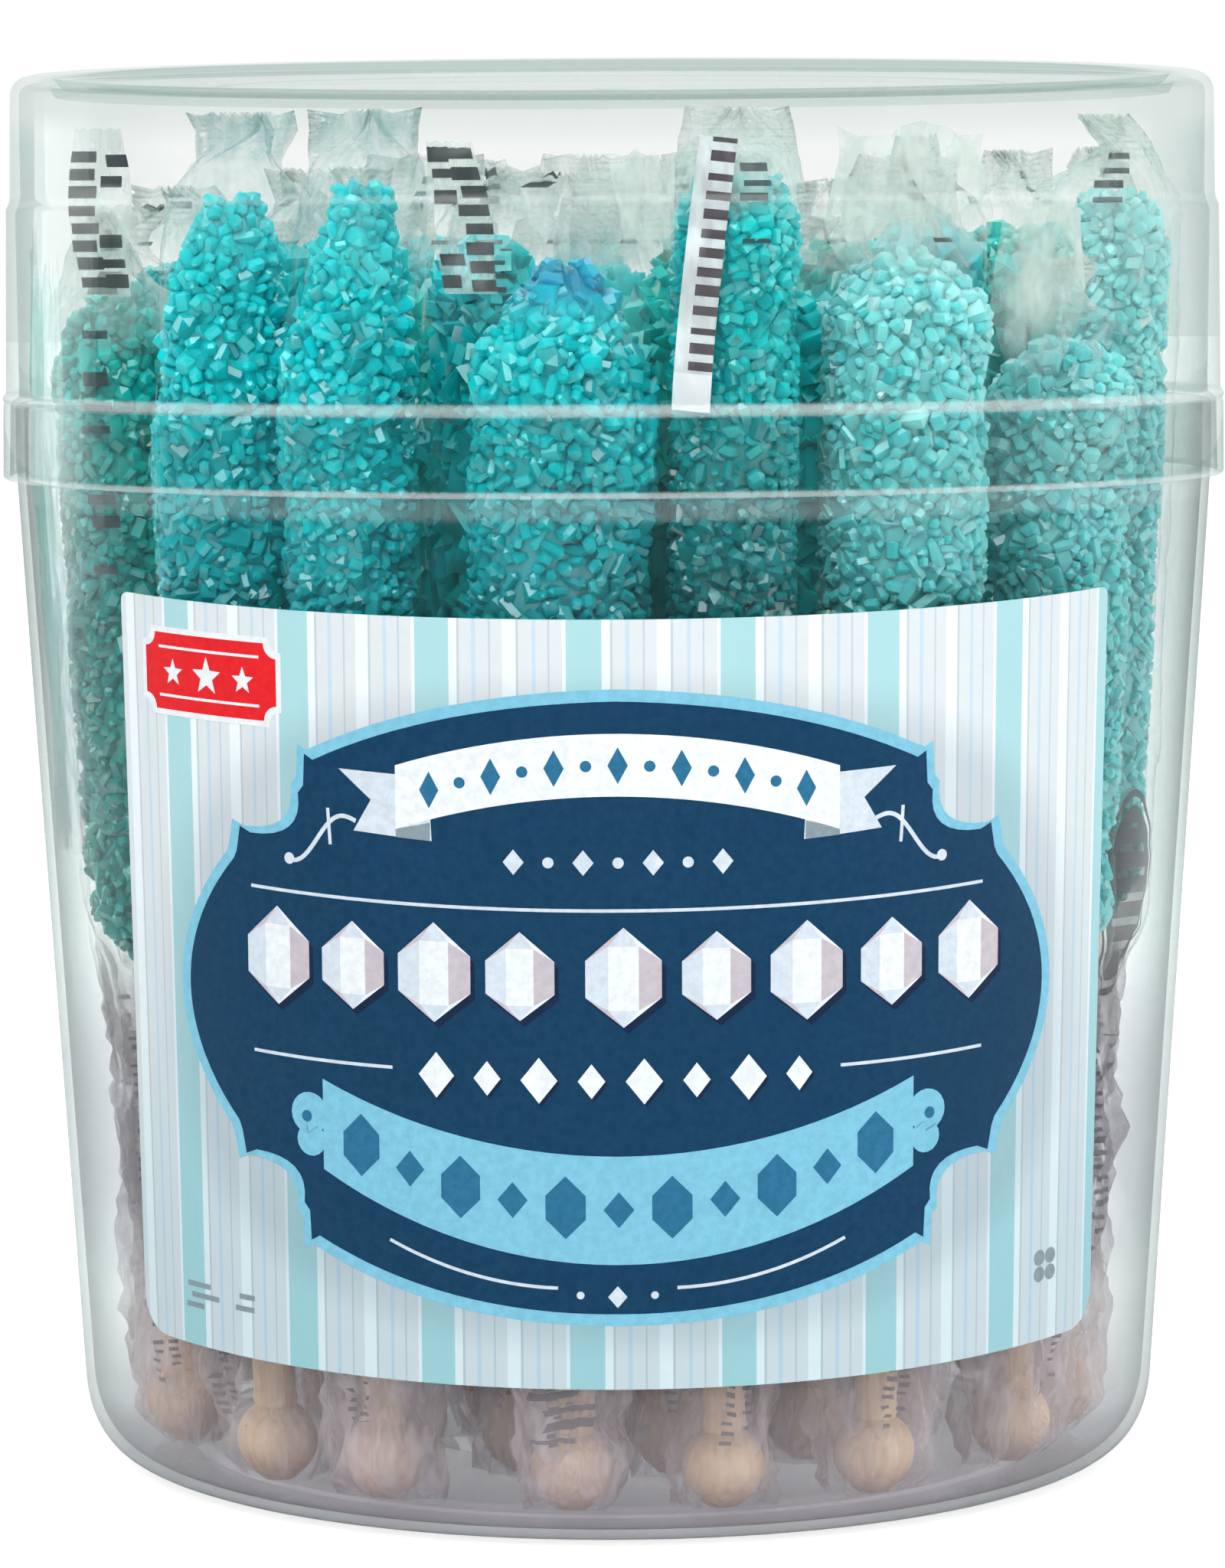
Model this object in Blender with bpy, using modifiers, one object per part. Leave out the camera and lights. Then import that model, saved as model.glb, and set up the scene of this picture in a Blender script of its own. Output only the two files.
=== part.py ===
"""Clear round tub with a deep clear lid and a paper label, filled with
wrapped rock candies on knob-ended wooden sticks.

Metres, +Z up. The origin is the centre of the tub's foot ring, on the
surface that the tub stands on. The label faces -Y. The tub's wall is a
straight cone, the label is a flat sheet rolled onto it, and every candy
stands knob down and crystal end up, the outer ones leaning out with the wall.
"""

import math
import random

import bmesh
import bpy
from mathutils import Vector, noise

MM = 0.001

# ---- tub ----------------------------------------------------------------
WALL = 1.2 * MM                 # plastic thickness of tub and lid
WALL_REF_Z = 133.0 * MM         # height at which WALL_REF_R is measured
WALL_REF_R = 80.67 * MM         # tub's outer radius there
WALL_SLOPE = 0.0627             # the wall leans out by this much per unit of height
TUB_TOP_Z = 143.0 * MM          # tub's mouth, inside the lid's skirt
FOOT_R_IN = 58.0 * MM           # flat foot ring, inner and outer radius
FOOT_R_OUT = 63.0 * MM
HEEL_Z = 10.0 * MM              # where the heel's curve meets the wall
BASE_RISE = 1.5 * MM            # the base plate sits this far above the foot ring
ROUND_SEGMENTS = 44             # sides of the tub and the lid

# ---- lid ----------------------------------------------------------------
LID_SKIRT_Z = 133.0 * MM        # lower edge of the skirt
LID_BEAD_Z = 143.7 * MM         # thin bead round the lid
LID_STEP_Z = 169.5 * MM         # shallow step near the top
LID_TOP_Z = 186.6 * MM
LID_R_SKIRT = 82.5 * MM
LID_R_MID = 82.0 * MM
LID_R_TOP = 80.9 * MM
LID_BEAD = 0.35 * MM            # the bead stands this proud
LID_CORNER = 2.6 * MM           # radius of the top edge
LID_PANEL_R = 74.0 * MM         # the top panel is recessed inside this radius
LID_PANEL_DROP = 1.6 * MM

# ---- label --------------------------------------------------------------
LABEL_W = 143.5 * MM            # the flat sheet's width and height
LABEL_H = 97.0 * MM
LABEL_MID_Z = 69.8 * MM         # height of the sheet's middle
LABEL_T = 0.30 * MM
LABEL_GAP = 0.30 * MM
LABEL_CORNER = 5.0 * MM         # lower corners
LABEL_TOP_CORNER = 1.2 * MM

# ---- candies ------------------------------------------------------------
FLOOR_Z = 3.2 * MM              # the knobs rest this high inside
KNOB_R = 5.4 * MM
STICK_R = 2.9 * MM
CANDY_LOW_Z = 73.0 * MM         # where the crystals start
FILM_THICK = 1.3 * MM           # wrapper's crimped end
RING_OUT_R = 60.0 * MM          # knob circle of the outer ring
RING_OUT_LEAN = 0.053
RING_MID_R = 38.3 * MM
RING_MID_LEAN = 0.034
RING_IN_R = 19.0 * MM
RING_IN_LEAN = 0.012
BEND_Z = 150.0 * MM             # above this the loose wrapper ends stand upright
# candies behind the front wall: degrees round from -Y towards +X, radius (mm),
# height of the crystals' tip (mm)
FRONT = (
    (-76.0, 10.6, 156.0),
    (-47.8, 10.3, 171.0),
    (-30.0, 9.4, 172.0),
    (-5.6, 12.2, 162.5),
    (12.8, 8.8, 173.0),
    (33.2, 11.3, 162.5),
    (59.5, 11.0, 151.5),
    (81.5, 10.8, 171.0),
)
BACK_COUNT = 9
MID_COUNT = 12
IN_COUNT = 6
SEED = 36


def wall_r(z):
    """Outer radius of the tub's straight wall at height z."""
    return WALL_REF_R + WALL_SLOPE * (z - WALL_REF_Z)


def arc(cx, cz, r, a0, a1, steps):
    """Points on a circle in the X-Z plane, from angle a0 to a1 in degrees."""
    return [
        (
            cx + r * math.cos(math.radians(a0 + (a1 - a0) * i / steps)),
            cz + r * math.sin(math.radians(a0 + (a1 - a0) * i / steps)),
        )
        for i in range(steps + 1)
    ]


def curve_between(p0, p1, p2, steps):
    """Quadratic curve from p0 to p2 that aims at p1 from both ends."""
    out = []
    for i in range(steps + 1):
        t = i / steps
        out.append(
            tuple(
                (1 - t) ** 2 * a + 2 * t * (1 - t) * b + t * t * c
                for a, b, c in zip(p0, p1, p2)
            )
        )
    return out


def clear_scene():
    for ob in list(bpy.data.objects):
        bpy.data.objects.remove(ob, do_unlink=True)


def new_collection(name):
    coll = bpy.data.collections.get(name) or bpy.data.collections.new(name)
    if coll.name not in bpy.context.scene.collection.children:
        bpy.context.scene.collection.children.link(coll)
    return coll


def make_material(name, colour, roughness, metallic=0.0, alpha=1.0):
    mat = bpy.data.materials.new(name)
    mat.use_nodes = True
    node = mat.node_tree.nodes.get("Principled BSDF")
    node.inputs["Base Color"].default_value = (*colour, 1.0)
    node.inputs["Roughness"].default_value = roughness
    node.inputs["Metallic"].default_value = metallic
    node.inputs["Alpha"].default_value = alpha
    mat.diffuse_color = (*colour, alpha)
    return mat


def add_object(name, mesh, coll, mat):
    ob = bpy.data.objects.new(name, mesh)
    ob.data.materials.append(mat)
    coll.objects.link(ob)
    return ob


def turned(name, profile, coll, mat, segments=ROUND_SEGMENTS):
    """Turn an outline that starts and ends on the axis, down its outer side first."""
    mesh = bpy.data.meshes.new(name)
    bm = bmesh.new()
    verts = [bm.verts.new((x, 0.0, z)) for x, z in profile]
    for a, b in zip(verts, verts[1:]):
        bm.edges.new((a, b))
    bm.to_mesh(mesh)
    bm.free()
    ob = add_object(name, mesh, coll, mat)
    screw = ob.modifiers.new("turn", "SCREW")
    screw.axis = "Z"
    screw.angle = math.tau
    screw.steps = segments
    screw.render_steps = segments
    screw.use_merge_vertices = True
    screw.merge_threshold = 0.00001
    screw.use_normal_calculate = False
    screw.use_smooth_shade = False
    return ob


# ---- the tub --------------------------------------------------------------
def tub_profile():
    """Open shell: inner floor outwards, up inside, over the rim, down the wall,
    round the heel to the foot ring, and in under the raised base."""
    inner_heel = curve_between(
        (FOOT_R_OUT - 0.3 * MM, WALL),
        (wall_r(0.0) - WALL - 0.6 * MM, WALL + 0.4 * MM),
        (wall_r(HEEL_Z + 0.6 * MM) - WALL, HEEL_Z + 0.6 * MM),
        4,
    )
    outer_heel = curve_between(
        (wall_r(HEEL_Z), HEEL_Z),
        (wall_r(0.0) - 0.4 * MM, 0.3 * MM),
        (FOOT_R_OUT, 0.0),
        4,
    )
    neck_r = wall_r(WALL_REF_Z) + 0.1 * MM
    return (
        [
            (0.0, BASE_RISE + WALL),
            (FOOT_R_IN - 1.0 * MM, BASE_RISE + WALL),
            (FOOT_R_IN + 0.6 * MM, WALL),
        ]
        + inner_heel
        + [
            (neck_r - WALL, TUB_TOP_Z),
            (neck_r, TUB_TOP_Z),
            (neck_r, WALL_REF_Z + 1.6 * MM),
        ]
        + outer_heel
        + [
            (FOOT_R_IN, 0.0),
            (FOOT_R_IN - 1.6 * MM, BASE_RISE),
            (0.0, BASE_RISE),
        ]
    )


# ---- the lid --------------------------------------------------------------
def lid_profile():
    """Cap: from the middle of the top outwards and down the skirt, then back up inside."""
    c = LID_CORNER
    inner_c = c - WALL
    top_r = LID_R_TOP
    floor_z = LID_TOP_Z - LID_PANEL_DROP
    outer = (
        [
            (0.0, floor_z),
            (LID_PANEL_R, floor_z),
            (LID_PANEL_R + 1.2 * MM, LID_TOP_Z),
        ]
        + arc(top_r - c, LID_TOP_Z - c, c, 90.0, 0.0, 3)
        + [
            (LID_R_TOP + 0.25 * MM, LID_STEP_Z + 0.5 * MM),
            (LID_R_MID - 0.35 * MM, LID_STEP_Z - 0.5 * MM),
            (LID_R_MID, LID_BEAD_Z + 0.8 * MM),
            (LID_R_MID + LID_BEAD, LID_BEAD_Z),
            (LID_R_SKIRT - 0.15 * MM, LID_BEAD_Z - 0.8 * MM),
            (LID_R_SKIRT, LID_SKIRT_Z),
        ]
    )
    inner = (
        [
            (LID_R_SKIRT - 0.95 * MM, LID_SKIRT_Z),
            (LID_R_SKIRT - 1.1 * MM, LID_BEAD_Z - 0.3 * MM),
            (LID_R_MID - 1.75 * MM, LID_BEAD_Z + 0.4 * MM),
            (LID_R_TOP - WALL, LID_STEP_Z),
        ]
        + arc(top_r - c, LID_TOP_Z - c, inner_c, 0.0, 90.0, 2)
        + [
            (LID_PANEL_R + 2.0 * MM, LID_TOP_Z - WALL),
            (LID_PANEL_R + 0.8 * MM, floor_z - WALL),
            (0.0, floor_z - WALL),
        ]
    )
    return outer + inner


# ---- the label --------------------------------------------------------------
def cone_point(u, v, lift):
    """Where a point of the flat sheet lies once the sheet is rolled onto the wall."""
    half = math.atan(WALL_SLOPE)
    apex_z = WALL_REF_Z - WALL_REF_R / WALL_SLOPE
    slant = (LABEL_MID_Z - apex_z) / math.cos(half)
    rho = math.hypot(u, slant + v)
    theta = math.atan2(u, slant + v) / math.sin(half)
    r = rho * math.sin(half) + lift * math.cos(half)
    z = apex_z + rho * math.cos(half) - lift * math.sin(half)
    return Vector((r * math.sin(theta), -r * math.cos(theta), z))


def rounded(u, v):
    """Pull the corners of the flat sheet in to their radius."""
    corner = LABEL_TOP_CORNER if v > 0 else LABEL_CORNER
    du = abs(u) - (LABEL_W / 2 - corner)
    dv = abs(v) - (LABEL_H / 2 - corner)
    if du <= 0 or dv <= 0:
        return u, v
    k = max(du, dv) / math.hypot(du, dv)
    return (
        math.copysign(LABEL_W / 2 - corner + du * k, u),
        math.copysign(LABEL_H / 2 - corner + dv * k, v),
    )


def make_label(coll, mat):
    across, up, corner = 18, 5, 2
    bm = bmesh.new()
    bmesh.ops.create_grid(bm, x_segments=across, y_segments=up, size=1.0)

    def spread(t, half, count):
        """Lines of the grid: two inside each corner, the rest evenly between."""
        i = round((t + 1) / 2 * count)
        straight = 2 * (half - LABEL_CORNER)
        if i <= corner:
            return -half + LABEL_CORNER * i / corner
        if i >= count - corner:
            return half - LABEL_CORNER * (count - i) / corner
        return -half + LABEL_CORNER + straight * (i - corner) / (count - 2 * corner)

    for vert in bm.verts:
        u, v = rounded(
            spread(vert.co.x, LABEL_W / 2, across), spread(vert.co.y, LABEL_H / 2, up)
        )
        vert.co = cone_point(u, v, LABEL_GAP)
    bmesh.ops.recalc_face_normals(bm, faces=bm.faces)
    outward = sum((f.normal.dot(f.calc_center_median()) for f in bm.faces))
    if outward < 0:
        bmesh.ops.reverse_faces(bm, faces=bm.faces)
    mesh = bpy.data.meshes.new("label")
    bm.to_mesh(mesh)
    bm.free()
    ob = add_object("label", mesh, coll, mat)
    solid = ob.modifiers.new("paper", "SOLIDIFY")
    solid.thickness = LABEL_T
    solid.offset = 1.0
    return ob


# ---- the candies --------------------------------------------------------------
def candy_sections(tip, radius, fine, rnd):
    """Heights and half-widths of one wrapped candy, from the knob up.

    Each entry is (height, half width, half depth, lumpiness)."""
    k = KNOB_R
    low = CANDY_LOW_Z + rnd.uniform(-3.0, 4.0) * MM
    film = min(tip + rnd.uniform(9.0, 13.0) * MM, 181.0 * MM)
    rows = [
        (FLOOR_Z, 0.55 * k, 0.55 * k, 0.0),
        (FLOOR_Z + 0.9 * k, k, k, 0.0),
        (FLOOR_Z + 2.1 * k, STICK_R, STICK_R, 0.0),
        (low, STICK_R * 1.15, STICK_R * 1.15, 0.0),
    ]
    body = 4 if fine else 2
    for i in range(body):
        t = i / (body - 1)
        swell = 0.90 + 0.10 * math.sin(math.pi * min(t * 1.15, 1.0))
        z = low + 5.0 * MM + (tip - 10.0 * MM - low - 5.0 * MM) * t
        rows.append((z, radius * swell, radius * swell, 1.0))
    rows.append((tip - 2.0 * MM, radius * 0.52, radius * 0.52, 1.0))
    rows.append((tip + 2.5 * MM, radius * 0.50, 1.7 * MM, 0.0))
    rows.append((film, radius * 0.86, FILM_THICK / 2, 0.0))
    return rows


def loft(name, sections, axis_at, turn, segments, lump_seed, coll, mat):
    """Bridge rings of unlike outline into one closed body."""
    bm = bmesh.new()
    rings = []
    for n, (z, half_w, half_d, lumps) in enumerate(sections):
        centre = axis_at(z)
        ring = []
        for s in range(segments):
            a = math.tau * s / segments
            grain = noise.noise(
                Vector((math.cos(a) * 1.7, math.sin(a) * 1.7, z / MM * 0.09 + lump_seed))
            )
            k = 1.0 - lumps * (0.06 + 0.10 * abs(grain))
            x, y = half_w * k * math.cos(a), half_d * k * math.sin(a)
            ring.append(
                bm.verts.new(
                    (
                        centre.x + x * math.cos(turn) - y * math.sin(turn),
                        centre.y + x * math.sin(turn) + y * math.cos(turn),
                        z,
                    )
                )
            )
        rings.append(ring)
    for low, high in zip(rings, rings[1:]):
        for s in range(segments):
            t = (s + 1) % segments
            bm.faces.new((low[s], low[t], high[t], high[s]))
    bm.faces.new(list(reversed(rings[0])))
    bm.faces.new(rings[-1])
    mesh = bpy.data.meshes.new(name)
    bm.to_mesh(mesh)
    bm.free()
    return add_object(name, mesh, coll, mat)


def placements(rnd):
    """Every candy: angle round the tub, knob circle, lean, radius, tip height, fine."""
    out = []
    for angle, radius, tip in FRONT:
        out.append((angle, RING_OUT_R, RING_OUT_LEAN, radius * MM, tip * MM, True))
    start = FRONT[-1][0]
    span = 360.0 + FRONT[0][0] - start
    for i in range(BACK_COUNT):
        angle = start + span * (i + 1) / (BACK_COUNT + 1)
        out.append(
            (
                angle + rnd.uniform(-0.5, 0.5),
                RING_OUT_R,
                RING_OUT_LEAN,
                rnd.uniform(10.3, 10.9) * MM,
                rnd.uniform(155.0, 168.0) * MM,
                True,
            )
        )
    for i in range(MID_COUNT):
        out.append(
            (
                360.0 * (i + 0.35) / MID_COUNT + rnd.uniform(-0.4, 0.4),
                RING_MID_R,
                RING_MID_LEAN,
                rnd.uniform(9.8, 10.2) * MM,
                rnd.uniform(156.0, 169.0) * MM,
                False,
            )
        )
    for i in range(IN_COUNT):
        out.append(
            (
                360.0 * (i + 0.1) / IN_COUNT,
                RING_IN_R,
                RING_IN_LEAN,
                9.5 * MM,
                rnd.uniform(157.0, 167.0) * MM,
                False,
            )
        )
    out.append((0.0, 0.0, 0.0, 9.3 * MM, 161.0 * MM, False))
    return out


def make_candies(coll):
    rnd = random.Random(SEED)
    teal = (0.008, 0.40, 0.42)
    for n, (angle, foot, lean, radius, tip, fine) in enumerate(placements(rnd), 1):
        a = math.radians(angle)
        outward = Vector((math.sin(a), -math.cos(a), 0.0))

        def axis_at(z, outward=outward, foot=foot, lean=lean):
            rise = min(z, BEND_Z) - FLOOR_Z
            return outward * (foot + lean * rise)

        tint = rnd.uniform(0.85, 1.15)
        mat = make_material(
            "candy_%02d" % n, tuple(min(1.0, c * tint) for c in teal), 0.25
        )
        loft(
            "candy_%02d" % n,
            candy_sections(tip, radius, fine, rnd),
            axis_at,
            a + rnd.uniform(-0.35, 0.35),
            9 if fine else 8,
            n * 3.7,
            coll,
            mat,
        )


def build():
    clear_scene()
    coll = new_collection("rock_candy_tub")
    clear = (0.90, 0.93, 0.93)
    turned("tub", tub_profile(), coll, make_material("tub", clear, 0.08, alpha=0.3))
    turned("lid", lid_profile(), coll, make_material("lid", clear, 0.08, alpha=0.3))
    make_label(coll, make_material("label", (0.70, 0.80, 0.84), 0.45))
    make_candies(coll)


build()
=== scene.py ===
import math

import bmesh
import bpy
import numpy as np
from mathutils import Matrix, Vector


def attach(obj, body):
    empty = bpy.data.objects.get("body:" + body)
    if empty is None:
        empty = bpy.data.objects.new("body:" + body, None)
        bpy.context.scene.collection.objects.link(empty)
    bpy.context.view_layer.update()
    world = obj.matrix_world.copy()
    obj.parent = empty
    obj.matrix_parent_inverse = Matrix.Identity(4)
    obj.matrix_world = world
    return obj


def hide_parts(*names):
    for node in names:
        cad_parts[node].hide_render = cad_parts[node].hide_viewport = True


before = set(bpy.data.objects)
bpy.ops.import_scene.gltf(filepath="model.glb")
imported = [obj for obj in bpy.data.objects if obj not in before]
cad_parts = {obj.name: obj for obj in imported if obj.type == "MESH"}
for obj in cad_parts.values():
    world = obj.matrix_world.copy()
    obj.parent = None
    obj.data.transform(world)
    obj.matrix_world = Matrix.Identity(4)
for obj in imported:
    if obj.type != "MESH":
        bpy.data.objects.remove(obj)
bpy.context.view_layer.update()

MM = 0.001
scene = bpy.context.scene

# sizes that the CAD model fixes, in millimetres, repeated here for the fine surfaces
WALL = 1.2
REF_Z, REF_R, SLOPE = 133.0, 80.67, 0.0627
TUB_TOP = 143.0
FOOT_IN, FOOT_OUT, HEEL_Z, BASE_RISE = 58.0, 63.0, 10.0, 1.5
SKIRT_Z, BEAD_Z, STEP_Z, LID_TOP = 133.0, 143.7, 169.5, 186.6
R_SKIRT, R_MID, R_TOP, BEAD, CORNER = 82.5, 82.0, 80.9, 0.35, 2.6
PANEL_R, PANEL_DROP = 74.0, 1.6
LABEL_W, LABEL_H, LABEL_MID_Z, LABEL_CORNER, LABEL_TOP_CORNER = 143.5, 97.0, 69.8, 5.0, 1.2


def wall_r(z):
    return REF_R + SLOPE * (z - REF_Z)


def srgb(r, g, b):
    """Linear colour from 0-255 display values."""
    out = []
    for c in (r, g, b):
        c = c / 255.0
        out.append(c / 12.92 if c <= 0.04045 else ((c + 0.055) / 1.055) ** 2.4)
    return (out[0], out[1], out[2], 1.0)


# ---------------------------------------------------------------------------
# camera, floor and light
# ---------------------------------------------------------------------------
cam_data = bpy.data.cameras.new("camera")
cam_data.lens = 134.4
cam_data.sensor_width = 36.0
cam_data.sensor_fit = "AUTO"
cam_data.clip_start = 0.02
cam_data.clip_end = 50.0
cam = bpy.data.objects.new("camera", cam_data)
scene.collection.objects.link(cam)
cam.location = (0.0, -0.796, 0.1645)
cam.rotation_euler = (math.radians(90.0 - 5.31), math.radians(0.29), 0.0)
scene.camera = cam

scene.view_settings.view_transform = "Standard"
scene.view_settings.look = "None"
scene.cycles.max_bounces = 8
scene.cycles.diffuse_bounces = 3
scene.cycles.glossy_bounces = 2
scene.cycles.transmission_bounces = 4
scene.cycles.transparent_max_bounces = 28
scene.cycles.adaptive_threshold = 0.15
scene.cycles.use_light_tree = False
scene.cycles.sample_clamp_indirect = 4.0
scene.cycles.caustics_reflective = False
scene.cycles.caustics_refractive = False


# ---------------------------------------------------------------------------
# small helpers
# ---------------------------------------------------------------------------
class Nodes:
    """A material's node tree, with short calls to add and link nodes."""

    def __init__(self, name):
        self.mat = bpy.data.materials.new(name)
        self.mat.use_nodes = True
        self.nt = self.mat.node_tree
        self.nt.nodes.clear()
        self.out = self.nt.nodes.new("ShaderNodeOutputMaterial")

    def add(self, kind, props=None, **inputs):
        n = self.nt.nodes.new("ShaderNode" + kind)
        for k, v in (props or {}).items():
            setattr(n, k, v)
        for k, v in inputs.items():
            key = int(k[1:]) if k[0] == "i" and k[1:].isdigit() else k.replace("_", " ")
            self.put(n.inputs[key], v)
        return n

    def put(self, socket, v):
        if isinstance(v, bpy.types.NodeSocket):
            self.nt.links.new(v, socket)
        elif isinstance(v, bpy.types.Node):
            self.nt.links.new(v.outputs[0], socket)
        elif socket.type == "RGBA" and len(v) == 3:
            socket.default_value = (*v, 1.0)
        else:
            socket.default_value = v

    def math(self, op, a, b=0.0, c=0.0, clamp=False):
        n = self.nt.nodes.new("ShaderNodeMath")
        n.operation = op
        n.use_clamp = clamp
        self.put(n.inputs[0], a)
        self.put(n.inputs[1], b)
        self.put(n.inputs[2], c)
        return n.outputs[0]

    def mix(self, fac, a, b, blend="MIX"):
        n = self.nt.nodes.new("ShaderNodeMix")
        n.data_type = "RGBA"
        n.blend_type = blend
        n.clamp_factor = True
        self.put(n.inputs[0], fac)
        self.put(n.inputs[6], a)
        self.put(n.inputs[7], b)
        return n.outputs[2]

    def ramp(self, fac, stops, interp="LINEAR"):
        n = self.nt.nodes.new("ShaderNodeValToRGB")
        n.color_ramp.interpolation = interp
        els = n.color_ramp.elements
        while len(els) < len(stops):
            els.new(0.5)
        for e, (pos, col) in zip(els, stops):
            e.position = pos
        for e, (pos, col) in zip(els, stops):
            e.color = col if len(col) == 4 else (*col, 1.0)
        self.put(n.inputs[0], fac)
        return n.outputs[0]

    def range(self, v, a, b, c, d, smooth=False):
        n = self.nt.nodes.new("ShaderNodeMapRange")
        n.interpolation_type = "SMOOTHSTEP" if smooth else "LINEAR"
        n.clamp = True
        for i, x in enumerate((v, a, b, c, d)):
            self.put(n.inputs[i], x)
        return n.outputs[0]

    def shader_mix(self, fac, a, b):
        n = self.nt.nodes.new("ShaderNodeMixShader")
        self.put(n.inputs[0], fac)
        self.put(n.inputs[1], a)
        self.put(n.inputs[2], b)
        return n.outputs[0]

    def done(self, shader):
        self.put(self.out.inputs["Surface"], shader)
        return self.mat


def array_mesh(name, verts, faces, mat, smooth=False, uv=None, sharp=None):
    """A mesh object from an (n, 3) array and an (m, 3) or (m, 4) index array."""
    me = bpy.data.meshes.new(name)
    verts = np.asarray(verts, np.float32)
    faces = np.asarray(faces, np.int32)
    n, k = faces.shape
    me.vertices.add(len(verts))
    me.vertices.foreach_set("co", verts.ravel())
    me.loops.add(n * k)
    me.loops.foreach_set("vertex_index", faces.ravel())
    me.polygons.add(n)
    me.polygons.foreach_set("loop_start", np.arange(0, n * k, k, dtype=np.int32))
    me.update(calc_edges=True)
    me.polygons.foreach_set("use_smooth", np.full(n, bool(smooth)))
    if uv is not None:
        layer = me.uv_layers.new(name="print")
        layer.uv.foreach_set("vector", np.asarray(uv, np.float32).ravel())
    if sharp is not None:
        me.set_sharp_from_angle(angle=math.radians(sharp))
    me.materials.append(mat)
    ob = bpy.data.objects.new(name, me)
    scene.collection.objects.link(ob)
    return ob


def lathe(name, profile, mat, segments=192, sharp=38):
    """Turns a profile in millimetres that starts and ends on the axis."""
    prof = np.asarray(profile, float) * MM
    inner = prof[1:-1]
    a = np.arange(segments) * math.tau / segments
    ring = np.stack([np.cos(a), np.sin(a)], 1)
    verts = [np.concatenate([np.outer(ring[:, 0], [r]), np.outer(ring[:, 1], [r]), np.full((segments, 1), z)], 1) for r, z in inner]
    verts = np.concatenate(verts)
    m = len(inner)
    me = bpy.data.meshes.new(name)
    top, bottom = len(verts), len(verts) + 1
    verts = np.concatenate([verts, [[0, 0, prof[0][1]], [0, 0, prof[-1][1]]]])
    faces = []
    for j in range(m - 1):
        for s in range(segments):
            t = (s + 1) % segments
            faces.append((j * segments + s, (j + 1) * segments + s, (j + 1) * segments + t, j * segments + t))
    for s in range(segments):
        t = (s + 1) % segments
        faces.append((top, s, t))
        faces.append((bottom, (m - 1) * segments + t, (m - 1) * segments + s))
    me.from_pydata(verts.tolist(), [], faces)
    me.update()
    me.shade_smooth()
    me.set_sharp_from_angle(angle=math.radians(sharp))
    me.materials.append(mat)
    ob = bpy.data.objects.new(name, me)
    scene.collection.objects.link(ob)
    return ob


class Waves:
    """Smooth random field: a sum of sines in random directions, about unit size."""

    def __init__(self, rng, count, wavelength, stretch=(1, 1, 1)):
        d = rng.normal(size=(count, 3))
        d /= np.linalg.norm(d, axis=1)[:, None]
        d /= np.asarray(stretch)
        self.k = d * (math.tau / (wavelength * rng.uniform(0.7, 1.5, (count, 1))))
        self.ph = rng.uniform(0, math.tau, count)
        self.norm = math.sqrt(count / 2)

    def __call__(self, p):
        return np.sin(p @ self.k.T + self.ph).sum(-1) / self.norm


def ride(ob):
    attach(ob, "root")
    return ob


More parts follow.
